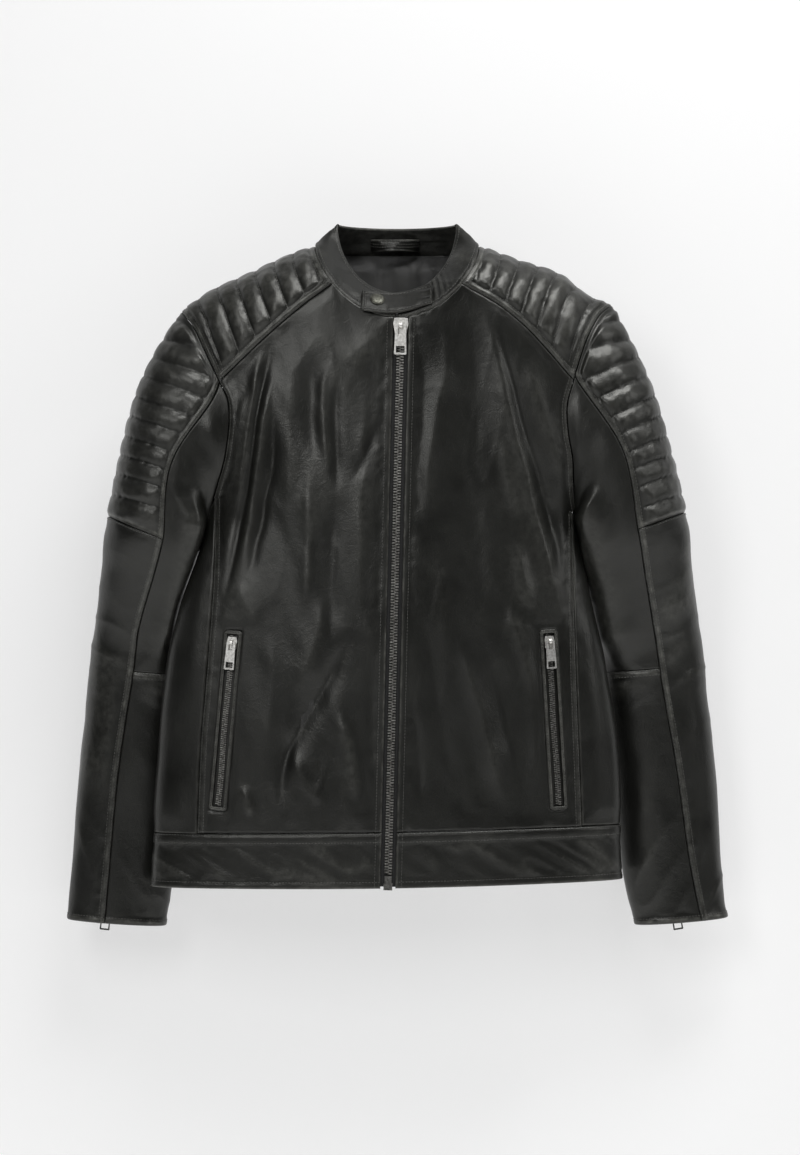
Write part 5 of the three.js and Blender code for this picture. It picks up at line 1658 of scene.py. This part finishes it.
def main_zip():
    top = skin(*ZIP_TOP, 0, -1)
    bottom = skin(*ZIP_BOTTOM, 0, -1)
    zip_at = zip_frame(top, bottom, np.array([0.0, -1.0, 0.0]))
    length = math.hypot(ZIP_TOP[0] - ZIP_BOTTOM[0], ZIP_TOP[1] - ZIP_BOTTOM[1])
    for sign in (RIGHT, LEFT):
        teeth(f"main_teeth_{NAME[sign]}", f"main_zip_teeth_{NAME[sign]}", "jacket", zip_at, (sign,),
              half=3.9, pitch=2.9, start=3.0, end=length - 12.5)


def cuff_zip_at(side):
    angle = float(SLEEVE[side]["back"](CUFF))
    bottom = sleeve_point(side, angle, CUFF, 0.0)
    above = sleeve_point(side, angle, CUFF - 1.0, 0.0)
    around = sleeve_point(side, angle + 2, CUFF, 0.0) - sleeve_point(side, angle - 2, CUFF, 0.0)
    outwards = -side * np.cross(around, above - bottom)
    return zip_frame(bottom + unit(above - bottom) * CUFF_ZIP_LENGTH, bottom, outwards)


def cuff_zips(side):
    name = NAME[side]
    teeth(f"{name}_cuff_teeth", f"{name}_cuff_zip_teeth", f"{name}_sleeve", cuff_zip_at(side), (RIGHT, LEFT),
          half=2.6, pitch=2.1, start=2.0, end=CUFF_ZIP_LENGTH - 4)


# ------------------------------------------------------------------ carried-over CAD pieces


# Words in the CAD pieces' names, with their material and the width of their bevel in mm.
CAD_LOOKS = (
    ("tape", TAPE, 0.25),
    ("bag", SATIN, 0.4),
    ("snap_cap", GUNMETAL, 0.0),
    ("cuff_pull", STEEL, 0.22),
    ("cuff_slider", STEEL, 0.22),
    ("main_zip_pin", STEEL, 0.4),
    ("main_zip_box", STEEL, 0.4),
    ("", NICKEL, 0.25),  # every other piece
)


def soften(obj, width):
    bevel = obj.modifiers.new("soft edges", "BEVEL")
    bevel.width = width * MM
    bevel.segments = 2
    bevel.limit_method = "ANGLE"
    bevel.angle_limit = math.radians(32)
    bevel.harden_normals = False


def dress_cad_pieces():
    for name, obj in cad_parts.items():
        if obj.hide_render:
            continue
        look, width = next((look, width) for word, look, width in CAD_LOOKS if word in name)
        obj.data.materials.clear()
        obj.data.materials.append(look)
        if width:
            soften(obj, width)


front_panel(RIGHT)
front_panel(LEFT)
back_panel()
for side in (RIGHT, LEFT):
    side_panel(side)
    hem_band(side, -1)
    shoulder_yoke(side)
    sleeve_pad(side)
    sleeve_outer(side)
    sleeve_under(side)
    sleeve_lining(side)
    pocket(side)
    cuff_zips(side)
hem_band(RIGHT, 1)
collar()
tab()
loop()
body_linings()
main_zip()
threads["jacket"].build("jacket_stitching", "jacket", THREAD)
threads["collar_tab"].build("tab_stitching", "collar_tab", THREAD)
for side in (RIGHT, LEFT):
    sleeve = f"{NAME[side]}_sleeve"
    threads[sleeve].build(f"{sleeve}_stitching", sleeve, THREAD)
dress_cad_pieces()

# ------------------------------------------------------------------ backdrop, lights and camera


def backdrop():
    """A pale wall close behind the jacket that curves into a floor below it. It is clear from behind."""
    wall_y, floor_z, bend, reach = 0.078, -1.25, 0.25, 3.0
    section = [(wall_y, 2.2), (wall_y, floor_z + bend)]
    for k in range(1, 13):
        angle = math.pi / 2 * k / 12
        section.append((wall_y - bend * (1 - math.cos(angle)), floor_z + bend * (1 - math.sin(angle))))
    section.append((-reach, floor_z))
    columns = 9
    xs = np.linspace(-reach, reach, columns)
    vertices = [(x / MM, y / MM, z / MM) for y, z in section for x in xs]
    faces = []
    for row in range(len(section) - 1):
        for k in range(columns - 1):
            a = row * columns + k
            faces.append((a, a + columns, a + columns + 1, a + 1))
    material, tree, shader, where = new_material("backdrop")
    grain = noise_node(tree, where, 3.0, 3.0, 0.5)
    paint = mix_colour(tree, grain, (0.47, 0.47, 0.47), (0.48, 0.48, 0.48))
    tree.links.new(paint, shader.inputs["Base Color"])
    shader.inputs["Roughness"].default_value = 0.95
    shader.inputs["Specular IOR Level"].default_value = 0.1
    shader.inputs["Emission Color"].default_value = (1, 1, 1, 1)
    split = tree.nodes.new("ShaderNodeSeparateXYZ")
    tree.links.new(where, split.inputs[0])
    tree.links.new(remap(tree, split.outputs["Z"], -1.2, 0.3, 0.56, 0.43), shader.inputs["Emission Strength"])
    clear = tree.nodes.new("ShaderNodeBsdfTransparent")
    mix = tree.nodes.new("ShaderNodeMixShader")
    facing = tree.nodes.new("ShaderNodeNewGeometry")
    tree.links.new(facing.outputs["Backfacing"], mix.inputs[0])
    tree.links.new(shader.outputs[0], mix.inputs[1])
    tree.links.new(clear.outputs[0], mix.inputs[2])
    tree.links.new(mix.outputs[0], tree.nodes["Material Output"].inputs["Surface"])
    obj = add_mesh("backdrop", vertices, faces, material)


JACKET, CHEST, SHOULDERS = (0, 0, -0.35), (0, 0, -0.15), (0, 0, -0.1)
# Each light: its place, where it points, its width and height, all in metres, and its power in watts.
LIGHTS = {
    "key": ((0.5, -1.0, 1.35), CHEST, (1.4, 0.6), 30),
    "right strip": ((2.2, -1.3, 0.6), JACKET, (0.6, 1.4), 9),
    "left strip": ((-0.8, -2.1, 0.55), JACKET, (0.7, 1.1), 15),
    "back key": ((0.4, 1.3, 1.3), SHOULDERS, (1.4, 0.6), 24),
    "back strip": ((1.8, 1.9, 0.6), JACKET, (0.8, 1.3), 22),
}
CAMERA = dict(place=(0.0031, -3.56, -0.3476), lens=106, sensor_width=36)


def area_light(name, place, target, size, energy):
    data = bpy.data.lights.new(name, "AREA")
    data.shape = "RECTANGLE"
    data.size, data.size_y = size
    data.energy = energy
    obj = bpy.data.objects.new(name, data)
    bpy.context.scene.collection.objects.link(obj)
    obj.location = place
    obj.rotation_euler = (Vector(target) - Vector(place)).to_track_quat("-Z", "Y").to_euler()


def surroundings():
    """A dim grey world that lights the jacket faintly and is pale where the camera sees it."""
    world = bpy.data.worlds.new("studio")
    bpy.context.scene.world = world
    world.use_nodes = True
    tree = world.node_tree
    dim = tree.nodes["Background"]
    dim.inputs["Color"].default_value = (0.92, 0.93, 0.94, 1)
    dim.inputs["Strength"].default_value = 0.02
    pale = tree.nodes.new("ShaderNodeBackground")
    pale.inputs["Color"].default_value = (0.88, 0.88, 0.88, 1)
    mix = tree.nodes.new("ShaderNodeMixShader")
    tree.links.new(tree.nodes.new("ShaderNodeLightPath").outputs["Is Camera Ray"], mix.inputs[0])
    tree.links.new(dim.outputs[0], mix.inputs[1])
    tree.links.new(pale.outputs[0], mix.inputs[2])
    tree.links.new(mix.outputs[0], tree.nodes["World Output"].inputs["Surface"])


def camera():
    data = bpy.data.cameras.new("camera")
    data.lens = CAMERA["lens"]
    data.sensor_width = CAMERA["sensor_width"]
    obj = bpy.data.objects.new("camera", data)
    bpy.context.scene.collection.objects.link(obj)
    obj.location = CAMERA["place"]
    obj.rotation_euler = (math.pi / 2, 0, 0)
    bpy.context.scene.camera = obj
    bpy.context.scene.view_settings.view_transform = "Standard"


backdrop()
surroundings()
for name, values in LIGHTS.items():
    area_light(name, *values)
camera()
